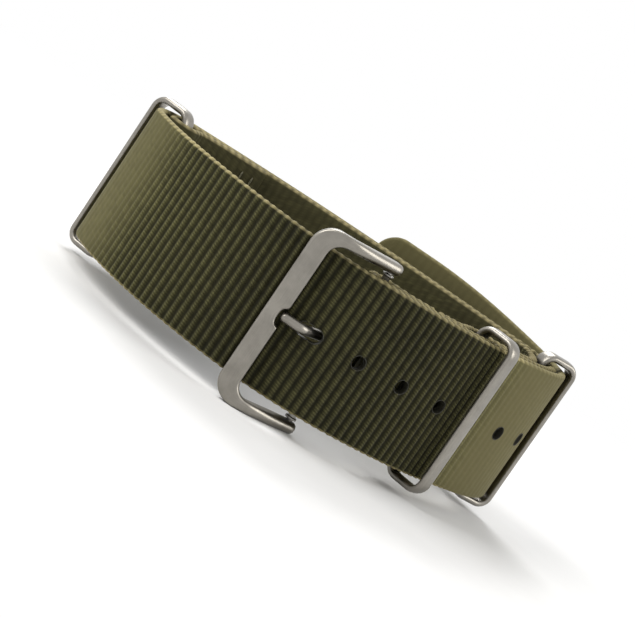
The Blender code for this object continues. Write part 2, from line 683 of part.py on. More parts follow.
# Everything hangs on one empty, moved so that the origin is the middle of the bottom of the box
root = bpy.data.objects.new("strap_root", None)
bpy.context.scene.collection.objects.link(root)
for obj in list(bpy.data.objects):
    if obj.type == "MESH":
        obj.parent = root
bpy.context.view_layer.update()
low, high = np.full(3, np.inf), np.full(3, -np.inf)
for name in LOOKS:
    obj = bpy.data.objects[name]
    world = np.array(obj.matrix_world)
    points = np.array([v.co[:] for v in obj.data.vertices]) @ world[:3, :3].T + world[:3, 3]
    low, high = np.minimum(low, points.min(axis=0)), np.maximum(high, points.max(axis=0))
root.location = (-(low[0] + high[0]) / 2, -(low[1] + high[1]) / 2, -low[2])
bpy.context.view_layer.update()
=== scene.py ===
"""Olive woven watch strap closed into a loop, with satin steel buckle and rings, on a pale floor."""

import json
import math

import bpy
import numpy as np
from mathutils import Matrix, Vector

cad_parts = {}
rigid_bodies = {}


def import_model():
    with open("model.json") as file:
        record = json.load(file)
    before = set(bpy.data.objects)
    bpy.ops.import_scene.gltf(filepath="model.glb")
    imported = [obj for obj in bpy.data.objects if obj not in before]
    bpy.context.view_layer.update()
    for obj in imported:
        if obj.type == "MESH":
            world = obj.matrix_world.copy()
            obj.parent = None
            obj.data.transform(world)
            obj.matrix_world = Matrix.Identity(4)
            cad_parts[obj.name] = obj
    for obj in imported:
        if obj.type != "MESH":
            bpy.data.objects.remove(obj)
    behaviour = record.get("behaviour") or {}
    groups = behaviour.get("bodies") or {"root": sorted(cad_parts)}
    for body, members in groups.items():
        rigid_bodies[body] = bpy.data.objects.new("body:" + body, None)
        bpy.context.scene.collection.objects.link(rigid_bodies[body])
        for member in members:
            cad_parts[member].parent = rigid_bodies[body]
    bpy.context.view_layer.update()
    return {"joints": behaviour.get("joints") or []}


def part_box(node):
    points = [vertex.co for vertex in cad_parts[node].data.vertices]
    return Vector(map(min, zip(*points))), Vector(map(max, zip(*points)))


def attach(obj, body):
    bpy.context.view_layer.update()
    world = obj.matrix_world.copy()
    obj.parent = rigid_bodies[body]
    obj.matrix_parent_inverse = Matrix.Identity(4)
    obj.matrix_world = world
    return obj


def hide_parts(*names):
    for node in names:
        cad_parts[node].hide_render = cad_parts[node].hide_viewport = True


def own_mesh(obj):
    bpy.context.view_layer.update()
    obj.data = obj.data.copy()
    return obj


for old in list(bpy.data.objects):
    bpy.data.objects.remove(old, do_unlink=True)
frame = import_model()

# Strap cloth, as the solids have it
STRAP_WIDTH = 0.0200
STRAP_THICK = 0.0012
LAYER_GAP = 0.00030
LAYER = STRAP_THICK + LAYER_GAP
TAIL_DEPTH = STRAP_THICK / 2
MAIN_DEPTH = TAIL_DEPTH + LAYER
BACK_DEPTH = MAIN_DEPTH + LAYER

# Outer face of the front run, from the tongue's hole: each leg is a share of the run and a turn in degrees
HEADING_AT_HOLE = math.radians(8.8)
RIGHT_RUN = 0.0849
RIGHT_LEG_SHARES = (
    (0.1060, 19.4), (0.2120, 22.7), (0.0942, 3.6), (0.0942, 17.6),
    (0.0589, 18.0), (0.0942, 48.0), (0.1649, 41.9), (0.1756, 0.0),
)
LEFT_RUN = 0.0535
LEFT_LEG_SHARES = ((0.1682, 26.0), (0.4487, 33.9), (0.1308, 12.9), (0.2523, 94.0))
LEAVE_AT = 0.0455
RIGHT_BEND_RADIUS = 0.0052
RIGHT_BEND_TO = math.radians(175.0)
WALL_PULL_SHARE = 1.14
WALL_POINTS = 800
BEND_POINTS = 220
HALF_CIRCLE_POINTS = 60
TAIL_CORNER = 0.0035
TAIL_RISE = 0.0019
TAIL_RISE_FROM_SHARE = 0.589
TAIL_RISE_TO_SHARE = 0.907

# Holes
HOLE_PITCH = 0.00707
HOLE_COUNT = 7
HOLE_ROOM = 0.00030
LINING_THICK = 0.00012
LINING_SIDES = 16
LINING_BLUNT = 0.6
LINING_SHIFT = 0.6
RIM_UP = 0.00007
OUTLINE_POINTS = 40
CUT_SHARP = math.radians(58.0)
PULLED_LEFT = -0.00206
PULLED_RIGHT = 0.00150
SLOT_SIDE_ROOM = 0.00085

# Folds
PIN_AT = 0.0051
TUBE_RADIUS = 0.00080
FOLD_RADIUS = TUBE_RADIUS + 0.00020 + STRAP_THICK / 2
FOLD_EASE = 0.0055
FOLD_BACK_TO = 0.0140
SHORT_FROM = FOLD_BACK_TO + 0.0017
SHORT_FOLD_BACK = 0.0170
END_FOLD_EASE = 0.0105
NEAR_TUNNEL_RUN = 0.0056
MIDDLE_TUNNEL_RUN = 0.0100

# Rings
RING_BAR_WIDE = 0.0024
RING_BAR_THICK = 0.0010
RING_OPENING = STRAP_WIDTH + 2 * 0.00070
RING_CORNER = 0.0015
RING_EDGE_POWER = 2.9
BAR_HALF = RING_BAR_THICK / 2 + 0.00027
BAR_DEPTH = STRAP_THICK / 2 + 0.00030 + BAR_HALF
NEAR_AT = 0.0248
NEAR_LEAN = math.radians(10.0)
MIDDLE_PAST = 0.0020
MIDDLE_LEAN = math.radians(18.0)
END_AT = -0.0465
END_BAR_BACK = 0.0010
RING_REACH = (2 * BAR_DEPTH + LAYER) / math.cos(NEAR_LEAN) + 0.00045
RING_DROPS = {"near": 0.0, "middle": 0.00025, "end": 0.00030}

# Buckle
FRAME_DROP = 0.00020
FRAME_FRONT_X = -0.00660
FRAME_BAR_WIDE = 0.0027
FRAME_BAR_THICK = 0.0015
FRAME_ARM_THICK = 0.0015
FRAME_ARM_DEEP = 0.0026
FRAME_OUTER_CORNER = 0.0030
FRAME_INNER_CORNER = 0.0018
FRAME_SIDE_ROOM = 0.00115
FRAME_BAR_GAP = 0.00020
FRAME_EDGE = 0.00034
ARM_END_SECTIONS = 14
ARM_SECTIONS = 20
ARM_BEND_SECTIONS = 24
BAR_SECTIONS = 88
EDGE_POINTS = 6
NOTCH_DEEP = 0.00080
NOTCH_HALF = 0.00135
TONGUE_WIRE = 0.0013
TONGUE_DROP = 0.00018
TONGUE_FIT = 0.00008
TONGUE_TIP_X = FRAME_FRONT_X + FRAME_BAR_WIDE - NOTCH_DEEP + 0.00030
TONGUE_FLAT_TO = -0.0012
TONGUE_DIVE = math.radians(60.0)
TONGUE_BEND = 0.0014
TONGUE_LIFT = 0.00022
EYE_WRAP = math.radians(262.0)

# Weave: ribs across the strap, and the warp yarns that climb over them
RIB_PITCH = 0.00116
RIB_ROWS = 8
RIB_UP = 0.00010
RIB_DOWN = 0.00016
RIB_POWER = 1.15
EDGE_SCALLOP = 0.00008
CALM_SHARE = 0.85
YARN_COUNT = 54
FACE_POINTS = 13
SELVAGE_POINTS = 5
SELVAGE_ROUND = STRAP_THICK * 0.42

# Where the cloth is smoother, and painted paler as painted light: towards the left bend, past the near ring,
# and on the back wall
LEFT_PAINTED_LIGHT_FROM = -0.0060
LEFT_PAINTED_LIGHT_RUN = 0.0300
LEFT_PAINTED_LIGHT_SHARE = 0.55
LEFT_CALM_FROM = -0.0270
LEFT_CALM_RUN = 0.0110
RIGHT_PAINTED_LIGHT_FROM = 0.0235
RIGHT_PAINTED_LIGHT_RUN = 0.0035
RIGHT_CALM_FROM = 0.0250
RIGHT_CALM_RUN = 0.0090
BACK_CALM_SHARE = 0.88
BACK_PAINTED_LIGHT_SHARE = 0.08

# Stitching
STITCH_LONG = 0.0015
STITCH_PITCH = 0.0022
STITCH_RADIUS = 0.00013
STITCH_ROWS_IN = (0.0014, 0.0030)
STITCHES_ACROSS = 8
STITCH_RINGS = 7
STITCH_SIDES = 8
STITCH_END_SHARE = 0.96
STITCH_BLUNT = 0.6

# Spring bar
TUBE_WALL = 0.00022
TUBE_END_ROOM = 0.00175
TIP_NOSE = 0.00042
TIP_FLANGE_THICK = 0.00030
TIP_FACE_GAP = 0.00025
TIP_SHAFT_IN = 0.0036
TIP_NOSE_OUT = 0.00072
TIP_FLANGE_SET_IN = 0.00002
TIP_ROUND = 0.00008
TIP_ROUND_STEPS = 3
TURNED_SIDES = 40
SHAFT_FIT = 0.00005
SOCKET_DEEP = 0.00090
SOCKET_FIT = 0.00008
SPRING_WIRE = 0.00018
SPRING_TURNS = 11
SPRING_END_GAP = 0.00006

# The photograph's camera, fitted to the strap's two edges, and the light
CAMERA_RISE = math.radians(7.59)
CAMERA_ROLL = math.radians(34.23)
CAMERA_AWAY = 0.302
CAMERA_AIM = (-0.00117, 0.0, 0.00283)
FOCAL_PIXELS = 2488
PHOTO_PIXELS_WIDE = 635
SENSOR_MM = 36.0
SOFT_BOX_AWAY = 0.60
WARM_WHITE = (1.0, 0.98, 0.94)
FLOOR_HALF = 6.0
# Pale olive that paints the light falling on the strap's ends: painted light
PAINTED_LIGHT_OLIVE = (0.128, 0.113, 0.052)

FINE_STEP = 0.0001

TAU = 2.0 * math.pi
HALF_TURN = math.pi
QUARTER_TURN = math.pi / 2
UP = (0.0, 0.0, 1.0)


def unit(angle):
    return np.stack([np.cos(angle), np.sin(angle)], axis=-1)


def inward(heading):
    return np.stack([-np.sin(heading), np.cos(heading)], axis=-1)


def follow(heading, run, leg_shares, side):
    """Stations (x, y, heading, distance) along arcs.

    Heading is piecewise linear in distance, and x and y are the integral of its direction.
    """
    s, h = [0.0], [heading]
    for run_share, degrees in leg_shares:
        s.append(s[-1] + run * run_share)
        h.append(h[-1] + side * math.radians(degrees))
    count = math.ceil(s[-1] / FINE_STEP)
    fine = np.linspace(0.0, s[-1], count + 1)
    turn = np.interp(fine, s, h)
    mid = (turn[1:] + turn[:-1]) / 2
    steps = np.diff(fine)[:, None] * unit(mid)
    points = np.concatenate([[[0.0, 0.0]], np.cumsum(steps, axis=0)])
    return np.column_stack([points, turn, fine])


def ease(t):
    t = np.clip(t, 0.0, 1.0)
    return t * t * (3.0 - 2.0 * t)


def swell(t):
    """Raised cosine: 1 at 0 and zero from 1 on."""
    return np.where(np.abs(t) < 1.0, 0.5 + 0.5 * np.cos(np.pi * np.clip(t, -1.0, 1.0)), 0.0)


def lengths(points):
    return np.concatenate([[0.0], np.cumsum(np.linalg.norm(np.diff(points, axis=0), axis=1))])


def at_run(line, values, run):
    """Values known at a line's points, asked for at distances along it."""
    known = lengths(line)
    if values.ndim == 1:
        return np.interp(run, known, values)
    return np.stack([np.interp(run, known, column) for column in values.T], axis=-1)


def signed_power(value, power):
    return np.sign(value) * np.abs(value) ** power


def directions(points):
    along = np.gradient(points, lengths(points), axis=0)
    return along / np.linalg.norm(along, axis=1)[:, None]


def stations(first, last):
    return np.linspace(first, last, max(3, math.ceil(abs(last - first) / FINE_STEP)))


left_half = follow(HEADING_AT_HOLE + HALF_TURN, LEFT_RUN, LEFT_LEG_SHARES, -1.0)[::-1]
left_half[:, 2] -= HALF_TURN
left_half[:, 3] *= -1.0
outer = np.concatenate([left_half[:-1], follow(HEADING_AT_HOLE, RIGHT_RUN, RIGHT_LEG_SHARES, 1.0)])
FRONT_FROM = outer[0, 3]
TAIL_TIP = outer[-1, 3]


def station(s):
    return np.stack([np.interp(s, outer[:, 3], outer[:, k]) for k in range(3)], axis=-1)


def plan(s, depth):
    """Plan point at distance s along the outer face, moved by depth along its inward normal."""
    found = station(np.atleast_1d(s))
    return found[:, :2] + inward(found[:, 2]) * np.atleast_1d(depth)[:, None]


PIN = plan(PIN_AT, MAIN_DEPTH + FOLD_RADIUS)[0]
pin_heading = float(station(PIN_AT)[2])

# From plan to the frame: the buckle's hinge is the spring bar's axis, and the cloth stands on its lower edge
joints = {joint["name"]: joint for joint in frame["joints"]}
swing = joints["buckle_swing"]
MID_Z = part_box("strap_short")[0].z + STRAP_WIDTH / 2
OFFSET = np.array([swing["pos_m"][0] - PIN[0], swing["pos_m"][1] - PIN[1], MID_Z])


def spread(xy, z):
    """World points from plan points and heights above mid width."""
    xy = np.asarray(xy, float)
    height = np.broadcast_to(np.asarray(z, float)[..., None], xy.shape[:-1] + (1,))
    return np.concatenate([xy, height], axis=-1) + OFFSET


def placed(name, data):
    made = bpy.data.objects.new(name, data)
    bpy.context.scene.collection.objects.link(made)
    return made


def grid_mesh(name, points, uv=None, tone=None, closed_rows=False, closed_ring=True, smooth=True):
    """A mesh from grids of points, copies by rows by ring: quads join each point to its neighbours.

    A grid whose rows don't close on themselves gets a flat cap at each end. uv and tone are two numbers per
    point, kept as the maps Run (along and across the piece) and Tone (calm and painted light of the cloth).
    """
    grids = points.reshape(-1, *points.shape[-3:])
    rows, cols = grids.shape[1:3]
    index = np.arange(grids[..., 0].size).reshape(-1, rows, cols)
    here = index if closed_rows else index[:, :-1]
    below = np.roll(index, -1, axis=1) if closed_rows else index[:, 1:]
    quads = np.stack([here, np.roll(here, -1, 2), np.roll(below, -1, 2), below], axis=-1)
    if not closed_ring:
        quads = quads[:, :, :-1]
    faces = quads.reshape(-1, 4).tolist()
    if closed_ring and not closed_rows:
        faces += index[:, 0, ::-1].tolist() + index[:, -1].tolist()
    mesh = bpy.data.meshes.new(name)
    mesh.from_pydata(grids.reshape(-1, 3).tolist(), [], faces)
    corner_point = np.empty(len(mesh.loops), np.int32)
    mesh.loops.foreach_get("vertex_index", corner_point)
    for label, given in (("Run", uv), ("Tone", tone)):
        if given is not None:
            layer = mesh.uv_layers.new(name=label)
            layer.data.foreach_set("uv", given.reshape(-1, 2)[corner_point].astype(np.float32).ravel())
    mesh.polygons.foreach_set("use_smooth", np.full(len(mesh.polygons), smooth))
    face_out(mesh)
    return placed(name, mesh)


def face_out(mesh):
    """Turns the whole skin round if the volume that it encloses comes out negative."""
    mesh.calc_loop_triangles()
    corners = np.empty(len(mesh.loop_triangles) * 3, np.int32)
    mesh.loop_triangles.foreach_get("vertices", corners)
    co = np.empty(len(mesh.vertices) * 3, np.float32)
    mesh.vertices.foreach_get("co", co)
    tri = co.reshape(-1, 3).astype(float)[corners.reshape(-1, 3)]
    if np.einsum("ij,ij->i", tri[:, 0], np.cross(tri[:, 1], tri[:, 2])).sum() < 0.0:
        mesh.flip_normals()


# Middle lines of the two straps


def joined(*parts):
    """Stretches end to end, without points that repeat."""
    line = np.concatenate(parts)
    keep = np.concatenate([[True], np.linalg.norm(np.diff(line, axis=0), axis=1) > FINE_STEP / 20])
    return line[keep]


def fold_line():
    """Free end of the long strap's fold, and the half circle round the spring bar."""
    s = stations(FOLD_BACK_TO, PIN_AT)
    gap = MAIN_DEPTH + 2 * FOLD_RADIUS - BACK_DEPTH
    back = plan(s, BACK_DEPTH + gap * ease(1.0 - (s - PIN_AT) / FOLD_EASE))
    turn = np.linspace(0.0, HALF_TURN, HALF_CIRCLE_POINTS)[1:-1, None]
    half_circle = PIN + FOLD_RADIUS * (np.cos(turn) * inward(pin_heading) - np.sin(turn) * unit(pin_heading))
    return np.concatenate([back, half_circle])


main_s = stations(PIN_AT, LEAVE_AT)
main_line = plan(main_s, MAIN_DEPTH)
leave_heading = float(station(LEAVE_AT)[2])
bend_heading = np.linspace(leave_heading, RIGHT_BEND_TO, BEND_POINTS)
bend_line = main_line[-1] + RIGHT_BEND_RADIUS * (inward(leave_heading) - inward(bend_heading))


def wall_line():
    """Cubic with given ends and end directions, each direction pulled by the same share of the chord."""
    start, stop = bend_line[-1], plan(FRONT_FROM, TAIL_DEPTH)[0]
    pull = WALL_PULL_SHARE * float(np.hypot(*(stop - start)))
    t = np.linspace(0.0, 1.0, WALL_POINTS)[:, None]
    return (
        (2 * t**3 - 3 * t**2 + 1) * start
        + (t**3 - 2 * t**2 + t) * pull * unit(RIGHT_BEND_TO)
        + (-2 * t**3 + 3 * t**2) * stop
        + (t**3 - t**2) * pull * unit(outer[0, 2])
    )


wall = wall_line()
front_s = stations(FRONT_FROM, TAIL_TIP)
front_line = plan(front_s, TAIL_DEPTH)


# The short strap and the rings follow the long strap's middle line
guide_s = stations(SHORT_FROM, LEAVE_AT)
guide_main = plan(guide_s, MAIN_DEPTH)
guide = joined(guide_main, bend_line[1:], wall[1:], front_line[1:])
guide_along = directions(guide)
guide_leave = lengths(guide_main)[-1]
front_run = lengths(front_line)
near_run = float(np.interp(NEAR_AT, guide_s, lengths(guide_main)))
middle_run = guide_leave + MIDDLE_PAST
end_run = lengths(guide)[-1] - front_run[-1] + float(np.interp(END_AT, front_s, front_run))


def guide_heading(run):
    along = at_run(guide, guide_along, run)
    return np.arctan2(along[..., 1], along[..., 0])


def beside(run, depth):
    """Plan point at a run along the guide line, depth inside it."""
    run = np.atleast_1d(run)
    return at_run(guide, guide, run) + inward(guide_heading(run)) * np.atleast_1d(depth)[:, None]


END_FOLD_RADIUS = BAR_HALF + 0.00030 + STRAP_THICK / 2
END_BAR_DEPTH = LAYER + END_FOLD_RADIUS


def short_line():
    """Inside the long strap, out over two rings' inner bars, round the last ring's and back."""
    run = stations(0.0, end_run)
    rise = (2 * BAR_DEPTH - LAYER) * (
        swell((run - near_run) / NEAR_TUNNEL_RUN) + swell((run - middle_run) / MIDDLE_TUNNEL_RUN)
    )
    turn = np.linspace(0.0, HALF_TURN, HALF_CIRCLE_POINTS)[1:-1, None]
    heading = float(guide_heading(end_run))
    half_circle = beside(end_run, END_BAR_DEPTH)[0] + END_FOLD_RADIUS * (
        np.sin(turn) * unit(heading) - np.cos(turn) * inward(heading)
    )
    back = stations(end_run, end_run - SHORT_FOLD_BACK)
    opened = ease(1.0 - (end_run - back) / END_FOLD_EASE)
    back_depth = 2 * LAYER + (2 * END_FOLD_RADIUS - LAYER) * opened
    return joined(beside(run, LAYER + rise), half_circle, beside(back, back_depth))


def rib(phase):
    """Rib profile over one pitch: a raised cosine to a power, 1 on the ridge and 0 in the groove."""
    return (0.5 + 0.5 * np.cos(TAU * phase)) ** RIB_POWER


def woven_band(name, line, rise, half, calm, painted_light):
    """A ribbed band of two faces and two round selvages: its thickness and width swell with each rib.

    line is the middle line in plan. rise (height of the middle), half (half width), calm (how far the ribs
    flatten) and painted_light (how far the colour is painted paler as painted light) hold a value for each
    of its points.
    """
    full = lengths(line)[-1]
    run = np.linspace(0.0, full, round(full / RIB_PITCH * RIB_ROWS) + 1)
    rise, half, calm, painted_light = (at_run(line, values, run) for values in (rise, half, calm, painted_light))
    middle = at_run(line, line, run)
    along = directions(middle)
    across = np.stack([-along[:, 1], along[:, 0]], axis=-1)
    phase = run / RIB_PITCH
    ridge = rib(phase)
    swing = 1.0 - CALM_SHARE * calm
    thick = STRAP_THICK / 2 + (RIB_UP * ridge - RIB_DOWN * (1.0 - ridge)) * swing
    width = half - EDGE_SCALLOP * (1.0 - ridge) * swing
    face, edge = np.ones(FACE_POINTS), np.ones(SELVAGE_POINTS)
    ramp = np.linspace(-1.0, 1.0, FACE_POINTS)
    bend = np.linspace(-QUARTER_TURN, QUARTER_TURN, SELVAGE_POINTS + 2)[1:-1]
    side = np.concatenate([-face, np.sin(bend), face, -np.sin(bend)])
    past = np.concatenate([0 * face, np.cos(bend), 0 * face, -np.cos(bend)])
    flat = np.concatenate([ramp, edge, ramp[::-1], -edge])
    off_middle = (width - SELVAGE_ROUND)[:, None] * flat + SELVAGE_ROUND * past
    plane = middle[:, None] + across[:, None] * (side * thick[:, None])[..., None]
    uv = np.stack(np.broadcast_arrays(phase[:, None], off_middle / STRAP_WIDTH + 0.5), axis=-1)
    tone = np.stack(np.broadcast_arrays(calm[:, None], painted_light[:, None], side)[:2], axis=-1)
    return grid_mesh(name, spread(plane, rise[:, None] + off_middle), uv, tone)


def tail_rise(s):
    start, stop = TAIL_RISE_FROM_SHARE * RIGHT_RUN, TAIL_RISE_TO_SHARE * RIGHT_RUN
    return TAIL_RISE * ease((s - start) / (stop - start))


def tail_half(s):
    into_corner = TAIL_CORNER - np.clip(TAIL_TIP - s, 0.0, TAIL_CORNER * 0.999)
    return STRAP_WIDTH / 2 - TAIL_CORNER + np.sqrt(TAIL_CORNER**2 - into_corner**2)


folded_back = joined(fold_line(), main_line, bend_line[1:])
long_line = np.concatenate([folded_back, wall[1:], front_line[1:]])
short_middle = short_line()


def long_strap():
    """The whole long strap, from its fold's free end to the tail's tip."""
    before, on_wall = len(folded_back), len(wall) - 1
    s = np.concatenate([np.full(before + on_wall, FRONT_FROM), front_s[1:]])
    half = np.where(s > FRONT_FROM, tail_half(s), STRAP_WIDTH / 2)
    calm = ease((LEFT_CALM_FROM - s) / LEFT_CALM_RUN) + ease((s - RIGHT_CALM_FROM) / RIGHT_CALM_RUN)
    # Painted light: the cloth is painted paler towards the left bend and past the near ring
    painted_light = LEFT_PAINTED_LIGHT_SHARE * ease((LEFT_PAINTED_LIGHT_FROM - s) / LEFT_PAINTED_LIGHT_RUN)
    painted_light += ease((s - RIGHT_PAINTED_LIGHT_FROM) / RIGHT_PAINTED_LIGHT_RUN)
    wall_part = slice(before, before + on_wall)
    leaving = ease(np.linspace(0.0, 6.0, on_wall))
    coming = ease(np.linspace(-3.0, 1.0, on_wall))
    # On the back wall the ribs calm and there is little painted light, rising again towards the front run
    calm[wall_part] = BACK_CALM_SHARE * leaving + (1.0 - BACK_CALM_SHARE) * coming
    painted_light[wall_part] = BACK_PAINTED_LIGHT_SHARE * leaving + (LEFT_PAINTED_LIGHT_SHARE - BACK_PAINTED_LIGHT_SHARE) * coming
    calm[:before] = painted_light[:before] = 0.0
    return woven_band("woven_long_strap", long_line, tail_rise(s), half, calm, painted_light)


def short_strap():
    """The short strap: ribbed up to the right bend, calmer along the back wall."""
    run = lengths(short_middle)
    on_back = ease((run - guide_leave) / RIGHT_BEND_RADIUS)
    flat = np.zeros(len(run))
    half = np.full(len(run), STRAP_WIDTH / 2)
    # Along the back wall the short strap gets a little painted light
    calm, painted_light = BACK_CALM_SHARE * on_back, BACK_PAINTED_LIGHT_SHARE * on_back
    return woven_band("woven_short_strap", short_middle, flat, half, calm, painted_light)


def stitching(name, line, runs, side):
    """Rows of stitches on one face of a strap: blunt spindles along z.

    Their radius is the cosine of an angle to a power that fills the ends, and their height is its sine.
    """
    along = at_run(line, directions(line), runs)
    out = side * np.stack([-along[:, 1], along[:, 0]], axis=-1)
    seat = at_run(line, line, runs) + out * (STRAP_THICK / 2 + RIB_UP / 2)
    heights = STITCH_PITCH * (np.arange(STITCHES_ACROSS) - (STITCHES_ACROSS - 1) / 2)
    a = np.linspace(-STITCH_END_SHARE, STITCH_END_SHARE, STITCH_RINGS)[:, None] * QUARTER_TURN
    turn = np.arange(STITCH_SIDES) * TAU / STITCH_SIDES
    radius = STITCH_RADIUS * np.cos(a) ** STITCH_BLUNT
    beside_line = along[:, None, None, None] * (radius * np.cos(turn))[..., None]
    off_face = out[:, None, None, None] * (radius * np.sin(turn))[..., None]
    plane = seat[:, None, None, None] + beside_line + off_face
    plane = np.broadcast_to(plane, (len(runs), STITCHES_ACROSS, STITCH_RINGS, STITCH_SIDES, 2))
    return grid_mesh(name, spread(plane, heights[:, None, None] + STITCH_LONG / 2 * np.sin(a)))


def all_stitching():
    """Two rows at the free end of each fold, and two where the short strap starts."""
    rows = np.array(STITCH_ROWS_IN)
    short_full = lengths(short_middle)[-1]
    return [
        stitching("fold_stitches_inside", long_line, rows, -1.0),
        stitching("start_stitches", short_middle, rows, 1.0),
        stitching("end_fold_stitches", short_middle, short_full - rows, -1.0),
    ]


# Holes


# Each hole's middle, as a distance along the outer face, and its length: the tongue pulls the first one long
hole_width = TONGUE_WIRE + 2 * HOLE_ROOM
holes = [((PULLED_LEFT + PULLED_RIGHT) / 2, PULLED_RIGHT - PULLED_LEFT)]
holes += [(k * HOLE_PITCH, hole_width) for k in range(1, HOLE_COUNT)]


def slot_outline(length, width):
    """Round-ended slot: points at equal angles on the two end half circles."""
    r, flat, count = width / 2, (length - width) / 2, OUTLINE_POINTS // 2
    a = ((np.arange(count) + 0.5) / count - 0.5) * HALF_TURN
    right = np.stack([flat + r * np.cos(a), r * np.sin(a)], axis=-1)
    return np.concatenate([right, -right])


def hole_rings(depths, grow):
    """For each hole, its outline at depths below the tail's outer face, each grown by its own amount."""
    stacks = []
    for middle, length in holes:
        x, y, heading = station(middle)
        height = tail_rise(middle) - TONGUE_DROP
        layers = []
        for depth, more in zip(depths, grow):
            outline = slot_outline(length + 2 * more, hole_width + 2 * more)
            xy = np.array([x, y]) + inward(heading) * depth + outline[:, :1] * unit(heading)
            layers.append(spread(xy, outline[:, 1] + height))
        stacks.append(layers)
    return np.array(stacks)


def cut_out(piece, *cutters):
    """Takes closed cutters out of a piece for good, and marks the edges of the cuts sharp."""
    for cutter in cutters:
        modifier = piece.modifiers.new("cut", "BOOLEAN")
        modifier.operation = "DIFFERENCE"
        modifier.solver = "EXACT"
        modifier.object = cutter
    bpy.context.view_layer.update()
    graph = bpy.context.evaluated_depsgraph_get()
    result = bpy.data.meshes.new_from_object(piece.evaluated_get(graph), depsgraph=graph)
    piece.modifiers.clear()
    result.set_sharp_from_angle(angle=CUT_SHARP)
    piece.data = result
    for cutter in cutters:
        bpy.data.objects.remove(cutter, do_unlink=True)


def tongue_slot():
    """Cutter for the slot in the fold: a box round the tongue's eye where it clasps the spring bar."""
    along, inside = unit(pin_heading), inward(pin_heading)
    half_along, out = FOLD_RADIUS + STRAP_THICK, FOLD_RADIUS + STRAP_THICK / 2 + LAYER_GAP / 2
    corners = [(-half_along, -out), (half_along, -out), (half_along, 2 * out), (-half_along, 2 * out)]
    plane = np.array([PIN + along * u + inside * v for u, v in corners])
    half_high = TONGUE_WIRE / 2 + SLOT_SIDE_ROOM
    points = np.stack([spread(plane, z - TONGUE_DROP) for z in (-half_high, half_high)])
    middle = np.full((2, 4, 2), 0.5)
    return grid_mesh("slot", points, middle, middle, smooth=False)


def punch_holes(strap):
    """Cuts the slot and the tail's holes, which go through its own ply alone, and lines each hole.

    A lining is a blunt ellipse carried round the hole's outline, with a soft rim proud of each face.
    """
    punch = grid_mesh("punch", hole_rings((-STRAP_THICK / 2, STRAP_THICK + LAYER_GAP / 2), (0.0, 0.0)))
    cut_out(strap, punch, tongue_slot())
    around = np.arange(LINING_SIDES) * TAU / LINING_SIDES
    across, deep = (signed_power(part, LINING_BLUNT) for part in (np.cos(around), np.sin(around)))
    depths = STRAP_THICK / 2 + (STRAP_THICK / 2 + RIM_UP) * deep
    grow = LINING_THICK / 2 * (LINING_SHIFT + across)
    return grid_mesh("hole_linings", hole_rings(depths, grow), closed_rows=True)


# Hardware


def swept_bar(name, centres, out, wide_dir, half_out, half_wide, power, closed=False, count=28):
    """A bar carried along a path: each section is a superellipse of the given power.

    out and wide_dir are unit vectors and half_out and half_wide half sizes, one for each point or for all.
    """
    a = (np.arange(count) + 0.5) * TAU / count
    high = np.broadcast_to(half_out, len(centres))[:, None] * signed_power(np.cos(a), 2.0 / power)
    wide = np.broadcast_to(half_wide, len(centres))[:, None] * signed_power(np.sin(a), 2.0 / power)
    out, wide_dir = np.broadcast_to(out, centres.shape), np.broadcast_to(wide_dir, centres.shape)
    points = centres[:, None] + out[:, None] * high[..., None] + wide_dir[:, None] * wide[..., None]
    uv = np.stack(np.broadcast_arrays(lengths(centres)[:, None], wide), axis=-1)
    return grid_mesh(name, points, uv, closed_rows=closed)


def ring_piece(key, run, depth, lean):
    """A ring of flat bar round the cloth: a round-cornered rectangle in the plane of z and the ring's x.

    Each point of the path has its own x and z, and the x and z of its outward normal.
    """
    half_z = (RING_OPENING + RING_BAR_THICK) / 2
    a = np.linspace(0.0, QUARTER_TURN, 12)
    corner_x, corner_z = RING_CORNER * (1.0 - np.cos(a)), half_z - RING_CORNER * (1.0 - np.sin(a))
    near = np.column_stack([corner_x, corner_z, -np.cos(a), np.sin(a)])
    far = np.column_stack([RING_REACH - corner_x, corner_z, np.cos(a), np.sin(a)])[::-1]
    upper = np.concatenate([near, far])
    lower = (upper * (1.0, -1.0, 1.0, -1.0))[::-1]
    share = np.linspace(0.0, 1.0, 14)[1:-1, None]
    down = upper[-1] + share * (lower[0] - upper[-1])
    up = lower[-1] + share * (upper[0] - lower[-1])
    path = np.concatenate([upper, down, lower, up])
    angle = float(guide_heading(run)) - QUARTER_TURN + lean
    x_dir, y_dir, z_dir = np.append(unit(angle), 0.0), np.append(inward(angle), 0.0), np.array(UP)
    centres = spread(beside(run, depth)[0], -RING_DROPS[key]) + path[:, :1] * x_dir + path[:, 1:2] * z_dir
    normal = path[:, 2:3] * x_dir + path[:, 3:4] * z_dir
    half_sizes = RING_BAR_THICK / 2, RING_BAR_WIDE / 2
    return swept_bar(f"steel_ring_{key}", centres, normal, y_dir, *half_sizes, RING_EDGE_POWER, closed=True)


arm_from = FRAME_FRONT_X + FRAME_BAR_WIDE
under_bar = outer[(outer[:, 0] > FRAME_FRONT_X) & (outer[:, 0] < arm_from) & (outer[:, 3] < 0.0)]
bar_y = under_bar[:, 1].min() - FRAME_BAR_GAP - FRAME_BAR_THICK / 2
arm_run = PIN[0] - arm_from
arm_slope = math.atan2(PIN[1] - bar_y, arm_run - FRAME_BAR_WIDE / 2)
half_height = STRAP_WIDTH / 2 + FRAME_SIDE_ROOM + FRAME_ARM_THICK
inner_face = half_height - FRAME_ARM_THICK


def frame_mid(x):
    """Depth, lean and half thickness of the bent plate's middle at each x."""
    t = (x - arm_from) / FRAME_BAR_WIDE
    fall = np.where(t < 1.0, np.clip(t, 0.0, None) ** 2 / 2, t - 0.5)
    thicker = (FRAME_ARM_DEEP - FRAME_BAR_THICK) * ease((x - arm_from) / (0.75 * arm_run))
    depth = bar_y + math.tan(arm_slope) * FRAME_BAR_WIDE * fall
    return depth, arm_slope * ease(t), (FRAME_BAR_THICK + thicker) / 2


